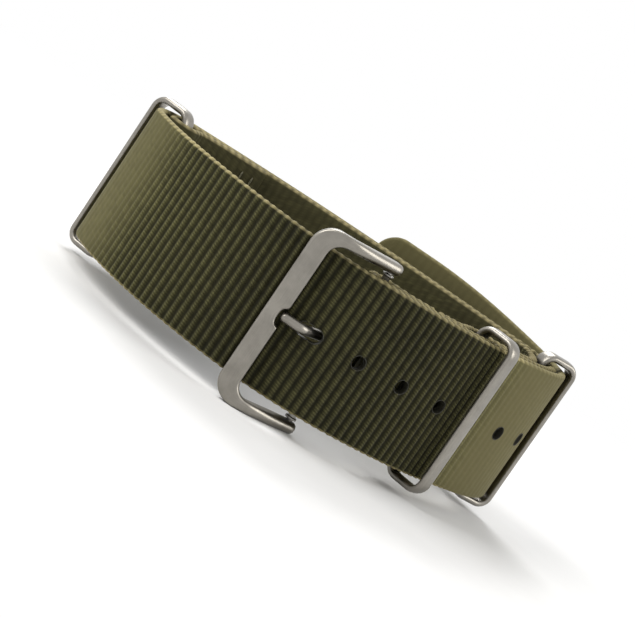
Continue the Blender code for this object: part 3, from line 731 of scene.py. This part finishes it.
def arm_edge(cap, run_x, front_x, corner, height):
    """One long edge of the upper arm, from its round end to the bar: points, lean and half thickness."""
    end = PIN + unit(arm_slope) * (FRAME_ARM_DEEP / 2 * np.sin(cap))[:, None]
    bend = np.linspace(0.0, QUARTER_TURN, ARM_BEND_SECTIONS)
    x = np.concatenate([end[:, 0], run_x, front_x + corner * (1.0 - np.sin(bend))])
    z = np.concatenate([np.full(len(end) + len(run_x), height), height - corner * (1.0 - np.cos(bend))])
    y, lean, deep = frame_mid(x)
    y[: len(end)] = end[:, 1]
    return np.column_stack([x, y, z]), lean, deep


def buckle_frame():
    """The U-shaped frame: a round-edged section carried from one arm's end round the front bar to the other.

    Each section runs from an inner to an outer point, and its thickness leans with the arm.
    """
    cap = np.linspace(0.985 * QUARTER_TURN, 0.0, ARM_END_SECTIONS)
    run_x = np.linspace(PIN[0], arm_from + FRAME_INNER_CORNER, ARM_SECTIONS + 2)[1:-1]
    inner, in_lean, in_deep = arm_edge(cap, run_x, arm_from, FRAME_INNER_CORNER, inner_face)
    outside, out_lean, out_deep = arm_edge(cap, run_x, FRAME_FRONT_X, FRAME_OUTER_CORNER, half_height)
    lean = (in_lean + out_lean) / 2
    deep = (in_deep + out_deep) / 2
    lean[:ARM_END_SECTIONS] = arm_slope
    deep[:ARM_END_SECTIONS] = FRAME_ARM_DEEP / 2 * np.cos(cap)
    into_end = (FRAME_ARM_DEEP * np.sin(cap) - (FRAME_ARM_DEEP - FRAME_ARM_THICK)) / FRAME_ARM_THICK
    shrink = np.ones(len(inner))
    shrink[:ARM_END_SECTIONS] = np.sqrt(1.0 - np.clip(into_end, 0.0, 0.998) ** 2)
    to_arm = ease((inner[:, 0] - arm_from) / (0.7 * arm_run))
    rounder = FRAME_EDGE + (0.49 * FRAME_ARM_THICK - FRAME_EDGE) * to_arm
    notch_middle = FRAME_DROP - TONGUE_DROP - 0.00020
    bar_z, bar_out_z = (np.linspace(z, -z, BAR_SECTIONS + 2)[1:-1] for z in (inner[-1, 2], outside[-1, 2]))
    dip_at = np.clip(np.abs(bar_z - notch_middle) / NOTCH_HALF, 0.0, 1.0)
    dip = NOTCH_DEEP * np.sqrt(1.0 - dip_at**2.6)
    near_notch = ease((np.abs(bar_z) - 2 * NOTCH_HALF) / (3 * NOTCH_HALF))
    bar_depth = np.full(BAR_SECTIONS, bar_y)
    bar_in = np.column_stack([arm_from - dip, bar_depth, bar_z])
    bar_out = np.column_stack([0 * dip + FRAME_FRONT_X, bar_depth, bar_z + (bar_out_z - bar_z) * near_notch])

    def whole(arm, bar, flip=1.0):
        """Upper arm, front bar and lower arm end to end: the lower arm is the upper one reversed."""
        bar = np.broadcast_to(bar, (BAR_SECTIONS, *arm.shape[1:]))
        return np.concatenate([arm, bar, (arm * flip)[::-1]])

    inside, outside = whole(inner, bar_in, (1.0, 1.0, -1.0)), whole(outside, bar_out, (1.0, 1.0, -1.0))
    lean, deep = whole(lean, 0.0), whole(deep, FRAME_BAR_THICK / 2)
    shrink, rounder = whole(shrink, 1.0), whole(rounder, FRAME_EDGE)
    middle = (inside + outside) / 2
    half_across = np.linalg.norm(outside - inside, axis=1) / 2
    across = (outside - inside) / (2 * half_across[:, None])
    face = np.stack([np.sin(lean), -np.cos(lean), np.zeros(len(lean))], axis=-1)
    reach = half_across * shrink
    edge = np.minimum(rounder, 0.96 * np.minimum(deep, reach))
    corner = np.linspace(0.0, QUARTER_TURN, EDGE_POINTS)
    u = np.concatenate([np.cos(corner), -np.sin(corner), -np.cos(corner), np.sin(corner)])
    v = np.concatenate([np.sin(corner), np.cos(corner), -np.sin(corner), -np.cos(corner)])
    su, sv = np.repeat([1.0, -1.0, -1.0, 1.0], EDGE_POINTS), np.repeat([1.0, 1.0, -1.0, -1.0], EDGE_POINTS)
    along_across = su * (reach - edge)[:, None] + u * edge[:, None]
    along_face = sv * (deep - edge)[:, None] + v * edge[:, None]
    points = middle[:, None] + across[:, None] * along_across[..., None]
    points += face[:, None] * along_face[..., None] + OFFSET - np.array([0.0, 0.0, FRAME_DROP])
    uv = np.stack(np.broadcast_arrays(lengths(middle)[:, None], along_across), axis=-1)
    return grid_mesh("steel_buckle_frame", points, uv)


def tongue_line():
    """Plan points of the tongue's wire: round the tube, straight to the knee, and flat to the tip."""
    wire = TONGUE_WIRE / 2
    leave = TONGUE_DIVE + QUARTER_TURN
    radius = TUBE_RADIUS + TONGUE_FIT + wire
    a = np.linspace(leave - EYE_WRAP, leave, 64)
    eye = PIN + radius * unit(a)
    dive = -unit(TONGUE_DIVE)
    flat_from = plan(TONGUE_TIP_X, -(TONGUE_LIFT + wire))[0]
    flat_to = plan(TONGUE_FLAT_TO, -(TONGUE_LIFT + wire))[0]
    flat = (flat_to - flat_from) / np.linalg.norm(flat_to - flat_from)
    reach = np.linalg.solve(np.array([dive, -flat]).T, flat_from - eye[-1])[0]
    knee = math.acos(-float(np.dot(dive, flat)))
    bend_from = eye[-1] + dive * (reach - TONGUE_BEND * math.tan(knee / 2))
    centre = bend_from + TONGUE_BEND * unit(leave)
    b = TONGUE_DIVE - QUARTER_TURN - np.linspace(0.0, knee, 20)
    bend = centre + TONGUE_BEND * unit(b)
    tip = flat_from + flat * wire
    straight = eye[-1] + (bend_from - eye[-1]) * np.linspace(0.0, 1.0, 20)[1:-1, None]
    last = bend[-1] + (tip - bend[-1]) * np.linspace(0.0, 1.0, 12)[1:, None]
    return np.concatenate([eye, straight, bend, last])


def tongue():
    """A round wire along the tongue's line, its tip closed by a half ball whose radius falls as a cosine."""
    line = tongue_line()
    along = directions(line)
    wire = TONGUE_WIRE / 2
    cap = np.linspace(0.0, 0.98 * QUARTER_TURN, 9)[1:]
    line = np.concatenate([line, line[-1] + along[-1] * (wire * np.sin(cap))[:, None]])
    along = np.concatenate([along, np.repeat(along[-1:], len(cap), axis=0)])
    radius = np.concatenate([np.full(len(line) - len(cap), wire), wire * np.cos(cap)])
    side = np.stack([-along[:, 1], along[:, 0], np.zeros(len(along))], axis=-1)
    return swept_bar("steel_tongue", spread(line, -TONGUE_DROP), side, UP, radius, radius, 2.0, count=24)


def turned(name, profile, sign=1.0, closed=False):
    """A solid of revolution about the spring bar's axis, from (radius, height) pairs."""
    radii, heights = np.array(profile).T
    a = np.arange(TURNED_SIDES) * TAU / TURNED_SIDES
    plane = PIN + radii[:, None, None] * unit(a)
    uv = np.stack(np.broadcast_arrays(0.0, (radii + heights)[:, None], a)[:2], axis=-1)
    return grid_mesh(name, spread(plane, sign * heights[:, None] - FRAME_DROP), uv, closed_rows=closed)


def sockets():
    """Cutters for the blind sockets in the frame's arms, in which the spring bar's noses sit."""
    radius = TIP_NOSE + SOCKET_FIT
    profile = [(radius, inner_face - SOCKET_DEEP), (radius, inner_face + SOCKET_DEEP)]
    return [turned("socket", profile, sign) for sign in (1.0, -1.0)]


def rounded(profile):
    """Each corner of the tip's profile between its ends becomes a short quadratic curve."""
    smooth = [profile[0]]
    for before, corner, after in zip(profile, profile[1:], profile[2:]):
        ways = (before - corner, after - corner)
        start, stop = (corner + way * min(TIP_ROUND / np.linalg.norm(way), 0.45) for way in ways)
        for t in np.linspace(0.0, 1.0, TIP_ROUND_STEPS + 1):
            smooth.append((1 - t) ** 2 * start + 2 * t * (1 - t) * corner + t**2 * stop)
    return smooth + [profile[-1]]


tube_in = TUBE_RADIUS - TUBE_WALL
tube_end = inner_face - TUBE_END_ROOM
shaft, shaft_end = tube_in - SHAFT_FIT, tube_end - TIP_SHAFT_IN
coil_end = shaft_end - SPRING_END_GAP


def spring_half(key, sign):
    """Half of the spring, from mid length to a tip: a wire on a helix, its angle in step with its height."""
    wire = SPRING_WIRE / 2
    top = coil_end - wire
    height = sign * np.linspace(0.0, top, 12 * SPRING_TURNS + 1)
    per_height = HALF_TURN * SPRING_TURNS / top
    angle = per_height * height + HALF_TURN * SPRING_TURNS
    radius = shaft - SPRING_WIRE
    out = np.stack([np.cos(angle), np.sin(angle), 0.0 * angle], axis=-1)
    along = np.stack([-np.sin(angle), np.cos(angle), 0.0 * angle + 1.0 / (radius * per_height)], axis=-1)
    along /= np.linalg.norm(along, axis=1)[:, None]
    centres = spread(PIN + radius * out[:, :2], height - FRAME_DROP)
    return swept_bar(f"spring_coil_{key}", centres, out, np.cross(along, out), wire, wire, 2.0, count=10)


def spring_bar_parts():
    """Turned profiles of the open tube, and of a tip from its shaft inside the tube out to its nose."""
    slope, nick = TUBE_WALL * 0.35, TUBE_WALL * 0.12
    radii = np.array([TUBE_RADIUS, TUBE_RADIUS - nick, TUBE_RADIUS - slope, tube_in])
    heights = tube_end - np.array([slope, nick, 0.0, 0.0])
    upper_half = np.column_stack([radii, heights])
    tube = np.concatenate([upper_half, (upper_half * (1.0, -1.0))[::-1]])
    flange, nose_end = TUBE_RADIUS - TIP_FLANGE_SET_IN, inner_face + TIP_NOSE_OUT
    flange_out = inner_face - TIP_FACE_GAP
    flange_in = flange_out - TIP_FLANGE_THICK
    radii = (shaft * 0.5, shaft, shaft, flange, flange, TIP_NOSE, TIP_NOSE, TIP_NOSE * 0.3)
    heights = (shaft_end, shaft_end, flange_in, flange_in, flange_out, flange_out, nose_end, nose_end)
    return tube, rounded(np.column_stack([radii, heights]))


# Materials


def new_group(name, inputs, outputs):
    """A shader node group. inputs and outputs give the kind of each socket by its name."""
    group = bpy.data.node_groups.new(name, "ShaderNodeTree")
    for side, wanted in (("INPUT", inputs), ("OUTPUT", outputs)):
        for label, kind in wanted.items():
            group.interface.new_socket(label, in_out=side, socket_type=f"NodeSocket{kind}")
    return group, group.nodes.new("NodeGroupInput").outputs, group.nodes.new("NodeGroupOutput").inputs


class Wires:
    """Short words for a tree's nodes."""

    def __init__(self, tree):
        self.tree = tree

    def put(self, socket, value):
        if isinstance(value, bpy.types.NodeSocket):
            self.tree.links.new(value, socket)
        else:
            socket.default_value = value

    def new(self, kind):
        return self.tree.nodes.new(f"ShaderNode{kind}")

    def fed(self, node, *values):
        """The node's first output, with values or links put into its inputs in order."""
        for socket, value in zip(node.inputs, values):
            self.put(socket, value)
        return node.outputs[0]

    def math(self, operation, *values):
        node = self.new("Math")
        node.operation = operation
        return self.fed(node, *values)

    def times(self, first, second):
        return self.math("MULTIPLY", first, second)

    def scaled(self, value, factor, plus):
        return self.math("MULTIPLY_ADD", value, factor, plus)

    def wave(self, turns):
        """Raised cosine of a count of turns: 1 at whole numbers, 0 half way between."""
        return self.scaled(self.math("COSINE", self.times(turns, TAU)), 0.5, 0.5)

    def span(self, value, low, high, to_low=0.0, to_high=1.0, smooth=True):
        node = self.new("MapRange")
        node.interpolation_type = "SMOOTHSTEP" if smooth else "LINEAR"
        return self.fed(node, value, low, high, to_low, to_high)

    def mix(self, factor, first, second, blend="MIX"):
        node = self.new("Mix")
        node.data_type = "RGBA"
        node.blend_type = blend
        self.put(node.inputs[0], factor)
        self.put(node.inputs[6], first)
        self.put(node.inputs[7], second)
        return node.outputs[2]

    def noise(self, vector, scale, detail, roughness=0.5):
        node = self.new("TexNoise")
        given = {"Vector": vector, "Scale": scale, "Detail": detail, "Roughness": roughness}
        for label, value in given.items():
            self.put(node.inputs[label], value)
        return node.outputs["Fac"]

    def combine(self, x, y, z):
        return self.fed(self.new("CombineXYZ"), x, y, z)

    def separate(self, vector):
        node = self.new("SeparateXYZ")
        self.put(node.inputs[0], vector)
        return node.outputs

    def use(self, group):
        node = self.new("Group")
        node.node_tree = group
        return node

    def uv(self, name="Run"):
        node = self.new("UVMap")
        node.uv_map = name
        return node.outputs[0]

    def place(self):
        return self.new("TexCoord").outputs["Object"]

    def bump(self, height, strength, distance):
        node = self.new("Bump")
        node.inputs["Strength"].default_value = strength
        node.inputs["Distance"].default_value = distance
        self.put(node.inputs["Height"], height)
        return node.outputs[0]


def rib_weave_group():
    """Warp yarns climbing over ribs, in a map whose x counts ribs and whose y runs 0 to 1 across the cloth.

    The ridge is a raised cosine over each rib, to a power. Yarns are slanted stripes, shifted by half a yarn
    from rib to rib, and each float has its own lightness. The colour darkens from ridge to groove and
    between yarns, as painted shade in the recesses. The selvage is a twisted cord at both edges, painted
    pale as a rim highlight along them.
    """
    colours = {"Ridge": "Color", "ShadedGroove": "Color", "SelvageHighlight": "Color"}
    inputs = {"Map": "Vector", **colours, "Yarns": "Float", "Calm": "Float"}
    group, given, out = new_group("rib_weave", inputs, {"Color": "Color", "Height": "Float"})
    w = Wires(group)
    x, y, _ = w.separate(given["Map"])
    ridge = w.math("POWER", w.wave(x), 1.1)
    rib_number = w.math("ROUND", x)
    in_rib = w.math("SUBTRACT", x, rib_number)
    slanted = w.scaled(in_rib, 0.9, w.times(rib_number, 0.5))
    yarn = w.scaled(y, given["Yarns"], slanted)
    float_shape = w.scaled(w.wave(yarn), 0.55, 0.45)
    white = w.new("TexWhiteNoise")
    white.noise_dimensions = "2D"
    w.put(white.inputs["Vector"], w.combine(rib_number, w.math("ROUND", yarn), 0.0))
    lively = w.times(ridge, float_shape)
    level = w.scaled(lively, -1.0, 0.55)
    strand = w.scaled(w.times(given["Calm"], 0.85), level, lively)
    varied = w.span(white.outputs["Value"], 0.0, 1.0, 0.80, 1.20, smooth=False)
    # Painted shade: the colour runs from the dark groove to the ridge with the rib profile and the yarn
    # stripes
    tone = w.mix(strand, given["ShadedGroove"], given["Ridge"])
    toned = w.mix(1.0, tone, w.combine(varied, varied, varied), "MULTIPLY")
    from_middle = w.math("ABSOLUTE", w.math("SUBTRACT", y, 0.5))
    edge = w.span(from_middle, 0.479, 0.489)
    twist = w.scaled(y, 9.0, x)
    bead = w.scaled(w.wave(twist), 0.55, 0.45)
    # Painted rim highlight: the selvage cord's pale colour
    cord = w.mix(bead, given["ShadedGroove"], given["SelvageHighlight"])
    w.put(out["Color"], w.mix(edge, toned, cord))
    flat_height = w.times(strand, w.math("SUBTRACT", 1.0, edge))
    w.put(out["Height"], w.scaled(bead, w.times(edge, 0.6), flat_height))
    return group


def satin_group():
    """Fine marks drawn along the metal: noise stretched along the map's x, with a cloud and a grain."""
    outputs = {"Tone": "Float", "Gloss": "Float"}
    group, given, out = new_group("satin_marks", {"Map": "Vector", "Place": "Vector"}, outputs)
    w = Wires(group)
    x, y, _ = w.separate(given["Map"])
    stretched = w.combine(w.times(x, 260.0), w.times(y, 16000.0), 0.0)
    lines = w.noise(stretched, 1.0, 3.0, 0.6)
    cloud = w.noise(given["Place"], 420.0, 3.0, 0.55)
    grain = w.noise(given["Place"], 5200.0, 2.0, 0.6)
    w.put(out["Tone"], w.scaled(lines, 0.4, w.times(cloud, 0.6)))
    w.put(out["Gloss"], w.scaled(lines, 0.5, w.times(grain, 0.5)))
    return group


RIB_WEAVE = rib_weave_group()
SATIN = satin_group()


def new_material(name):
    made = bpy.data.materials.new(name)
    made.use_nodes = True
    return made, Wires(made.node_tree), made.node_tree.nodes["Principled BSDF"]


def cloth_material(name, ridge, shaded_groove, selvage):
    """Ribbed nylon webbing: olive ridges, grooves dark with painted shade, a pale edge cord as painted rim
    highlight, painted paler towards the ends.
    """
    made, w, shader = new_material(name)
    weave = w.use(RIB_WEAVE)
    w.put(weave.inputs["Map"], w.uv())
    for label, colour in (("Ridge", ridge), ("ShadedGroove", shaded_groove), ("SelvageHighlight", selvage)):
        weave.inputs[label].default_value = (*colour, 1.0)
    weave.inputs["Yarns"].default_value = float(YARN_COUNT)
    calm, painted_light, _ = w.separate(w.uv("Tone"))
    w.put(weave.inputs["Calm"], calm)
    patch = w.span(w.noise(w.place(), 90.0, 3.0), 0.3, 0.7, 0.90, 1.08)
    # Painted light: the cloth is made paler, and blended towards the pale olive, where the Tone map paints
    # it lit
    paler = w.times(patch, w.scaled(painted_light, 1.7, 1.0))
    toned = w.mix(1.0, weave.outputs["Color"], w.combine(paler, paler, paler), "MULTIPLY")
    smooth = w.times(painted_light, w.times(calm, 0.85))
    w.put(shader.inputs["Base Color"], w.mix(smooth, toned, (*PAINTED_LIGHT_OLIVE, 1.0)))
    shader.inputs["Roughness"].default_value = 0.80
    shader.inputs["Specular IOR Level"].default_value = 0.15
    shader.inputs["Sheen Weight"].default_value = 0.05
    shader.inputs["Sheen Roughness"].default_value = 0.45
    shader.inputs["Sheen Tint"].default_value = (0.80, 0.76, 0.52, 1.0)
    height = w.times(weave.outputs["Height"], w.scaled(calm, -0.75, 1.0))
    w.put(shader.inputs["Normal"], w.bump(height, 0.9, 0.00018))
    return made


def steel_material(name, light, dark, low_rough, high_rough):
    """Steel with fine marks: tone and gloss vary along them, and they stand in its bump."""
    made, w, shader = new_material(name)
    marks = w.use(SATIN)
    w.put(marks.inputs["Map"], w.uv())
    w.put(marks.inputs["Place"], w.place())
    tone = w.span(marks.outputs["Tone"], 0.3, 0.7)
    w.put(shader.inputs["Base Color"], w.mix(tone, (*dark, 1.0), (*light, 1.0)))
    shader.inputs["Metallic"].default_value = 1.0
    w.put(shader.inputs["Roughness"], w.span(marks.outputs["Gloss"], 0.3, 0.7, low_rough, high_rough))
    w.put(shader.inputs["Normal"], w.bump(marks.outputs["Gloss"], 0.12, 0.00003))
    return made


def lumpy_material(name, scale, detail, dark, light, rough, strength, depth):
    """Fibre, sealed or twisted: one noise gives its colour, roughness and bump."""
    made, w, shader = new_material(name)
    lumps = w.noise(w.place(), scale, detail)
    w.put(shader.inputs["Base Color"], w.mix(lumps, (*dark, 1.0), (*light, 1.0)))
    w.put(shader.inputs["Roughness"], w.span(lumps, 0.2, 0.8, *rough))
    w.put(shader.inputs["Normal"], w.bump(lumps, strength, depth))
    return made


def seen_rays(w):
    """1 for rays by which the camera, metal or glass sees a surface, and 0 for those that light one."""
    path = w.new("LightPath")
    direct = w.math("MAXIMUM", path.outputs["Is Camera Ray"], path.outputs["Is Glossy Ray"])
    return w.math("MAXIMUM", direct, path.outputs["Is Transmission Ray"])


def floor_material():
    """Pale matt floor that keeps the shadow near the strap and is seen as plain white further off."""
    made, w, shader = new_material("pale_floor")
    grain = w.span(w.noise(w.place(), 60.0, 3.0), 0.3, 0.7, 0.80, 0.83)
    w.put(shader.inputs["Base Color"], w.combine(grain, grain, grain))
    shader.inputs["Roughness"].default_value = 0.9
    away = w.new("VectorMath")
    away.operation = "LENGTH"
    w.put(away.inputs[0], w.place())
    white = w.new("Emission")
    mixed = w.new("MixShader")
    w.put(mixed.inputs["Fac"], w.times(seen_rays(w), w.span(away.outputs["Value"], 0.04, 0.20)))
    w.put(mixed.inputs[1], shader.outputs["BSDF"])
    w.put(mixed.inputs[2], white.outputs["Emission"])
    w.put(w.tree.nodes["Material Output"].inputs["Surface"], mixed.outputs["Shader"])
    return made


# Camera, floor and light


def camera():
    """The photograph's viewpoint: a little above mid width, rolled, with flat perspective."""
    back = Vector((0.0, -math.cos(CAMERA_RISE), math.sin(CAMERA_RISE)))
    right = Vector((1.0, 0.0, 0.0))
    up = Vector((0.0, math.sin(CAMERA_RISE), math.cos(CAMERA_RISE)))
    turned_right = math.cos(CAMERA_ROLL) * right + math.sin(CAMERA_ROLL) * up
    turned_up = -math.sin(CAMERA_ROLL) * right + math.cos(CAMERA_ROLL) * up
    data = bpy.data.cameras.new("camera")
    made = placed("camera", data)
    matrix = Matrix((turned_right, turned_up, back)).transposed().to_4x4()
    matrix.translation = Vector(CAMERA_AIM) + Vector(OFFSET) + back * CAMERA_AWAY
    made.matrix_world = matrix
    data.sensor_fit = "HORIZONTAL"
    data.sensor_width = SENSOR_MM
    data.lens = SENSOR_MM * FOCAL_PIXELS / PHOTO_PIXELS_WIDE
    data.clip_start, data.clip_end = 0.005, 20.0
    bpy.context.scene.camera = made
    return turned_right, turned_up, back


def studio(right, up, back):
    """Soft boxes placed by the photograph's right, up and towards-viewer directions, and a pale floor."""
    centre = Vector(OFFSET) + Vector((0.0, 0.018, 0.0))

    def soft_box(name, direction, size, power, colour=(1.0, 1.0, 1.0)):
        lamp = bpy.data.lights.new(name, "AREA")
        lamp.shape = "DISK"
        lamp.size = size
        lamp.energy = power
        lamp.color = colour
        made = placed(name, lamp)
        made.location = centre + direction.normalized() * SOFT_BOX_AWAY
        made.rotation_mode = "QUATERNION"
        made.rotation_quaternion = (centre - made.location).to_track_quat("-Z", "Y")

    soft_box("key", up + back * 0.45 - right * 0.25, 0.45, 2.6, (1.0, 0.985, 0.96))
    soft_box("rim", up - back * 0.80 + right * 0.25, 0.30, 2.0)
    soft_box("left", -right + back * 0.25 + up * 0.15, 0.45, 0.7, WARM_WHITE)
    soft_box("right", right + back * 0.15 - up * 0.15, 0.40, 1.6, WARM_WHITE)

    corners = [[(x * FLOOR_HALF, y * FLOOR_HALF, 0.0) for x in (-1, 1)] for y in (-1, 1)]
    floor = grid_mesh("floor", np.array(corners), closed_ring=False, smooth=False)
    floor.data.materials.append(floor_material())

    world = bpy.data.worlds.new("studio_world")
    bpy.context.scene.world = world
    world.use_nodes = True
    w = Wires(world.node_tree)
    sky = world.node_tree.nodes["Background"]
    w.put(sky.inputs["Strength"], w.scaled(seen_rays(w), 0.5, 0.5))
    sky.inputs["Color"].default_value = (1.0, 1.0, 1.0, 1.0)
    bpy.context.scene.view_settings.view_transform = "Standard"


def dress(piece, body, material, slot, *nodes):
    piece.data.materials.clear()
    piece.data.materials.append(material)
    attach(piece, body)
    if nodes:
        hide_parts(*nodes)
    return piece


studio(*camera())

# Ridge, groove and selvage colours: the dark groove paints shade between ribs, and the pale selvage paints a
# rim highlight
outer_cloth = cloth_material(
    "olive_webbing", (0.070, 0.066, 0.026), (0.0105, 0.0100, 0.0038), (0.24, 0.205, 0.10)
)
inner_cloth = cloth_material(
    "olive_webbing_inside", (0.076, 0.070, 0.030), (0.014, 0.013, 0.005), (0.26, 0.22, 0.11)
)
satin_steel = steel_material("satin_steel", (0.295, 0.278, 0.246), (0.215, 0.202, 0.178), 0.28, 0.42)
drawn_steel = steel_material("drawn_steel", (0.30, 0.29, 0.27), (0.20, 0.192, 0.178), 0.26, 0.38)
melted = lumpy_material(
    "melted_fibre", 3200.0, 3.0, (0.008, 0.008, 0.005), (0.030, 0.028, 0.016), (0.5, 0.75), 0.4, 0.00006
)
thread = lumpy_material(
    "stitching_thread", 6000.0, 2.0, (0.06, 0.056, 0.028), (0.15, 0.14, 0.08), (0.6, 0.6), 0.5, 0.00004
)

tube_profile, tip_profile = spring_bar_parts()
tube_piece = turned("spring_tube", tube_profile, closed=True)
dress(tube_piece, "buckle", drawn_steel, "spring_bar_steel", "spring_bar_tube")
ends = (("upper", 1.0), ("lower", -1.0))
for key, sign in ends:
    tip = turned(f"spring_tip_{key}", tip_profile, sign)
    dress(tip, f"tip_{key}", drawn_steel, "spring_bar_steel", f"spring_bar_tip_{key}")
# Each half of the spring has its own mesh, goes with the buckle and stops a small gap short of its tip
for key, sign in ends:
    coil = dress(spring_half(key, sign), "buckle", drawn_steel, "spring_wire", "spring_bar_spring")
    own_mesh(coil)
frame_piece = buckle_frame()
cut_out(frame_piece, *sockets())
dress(frame_piece, "buckle", satin_steel, "buckle_steel", "buckle_frame")
dress(tongue(), "tongue", satin_steel, "tongue_steel", "buckle_tongue")
rings = [
    dress(ring_piece(key, run, depth, lean), f"ring_{key}", satin_steel, "keeper_steel", f"keeper_{key}")
    for key, run, depth, lean in (
        ("near", near_run, BAR_DEPTH, NEAR_LEAN),
        ("middle", middle_run, BAR_DEPTH, MIDDLE_LEAN),
        ("end", end_run - END_BAR_BACK, END_BAR_DEPTH, 0.0),
    )
]

long_piece = long_strap()
dress(punch_holes(long_piece), "strap", melted, "webbing_outer")
dress(long_piece, "strap", outer_cloth, "webbing_outer", "strap_long")
short_piece = dress(short_strap(), "strap", inner_cloth, "webbing_inner", "strap_short")
for stitches in all_stitching():
    dress(stitches, "strap", thread, "webbing_inner")
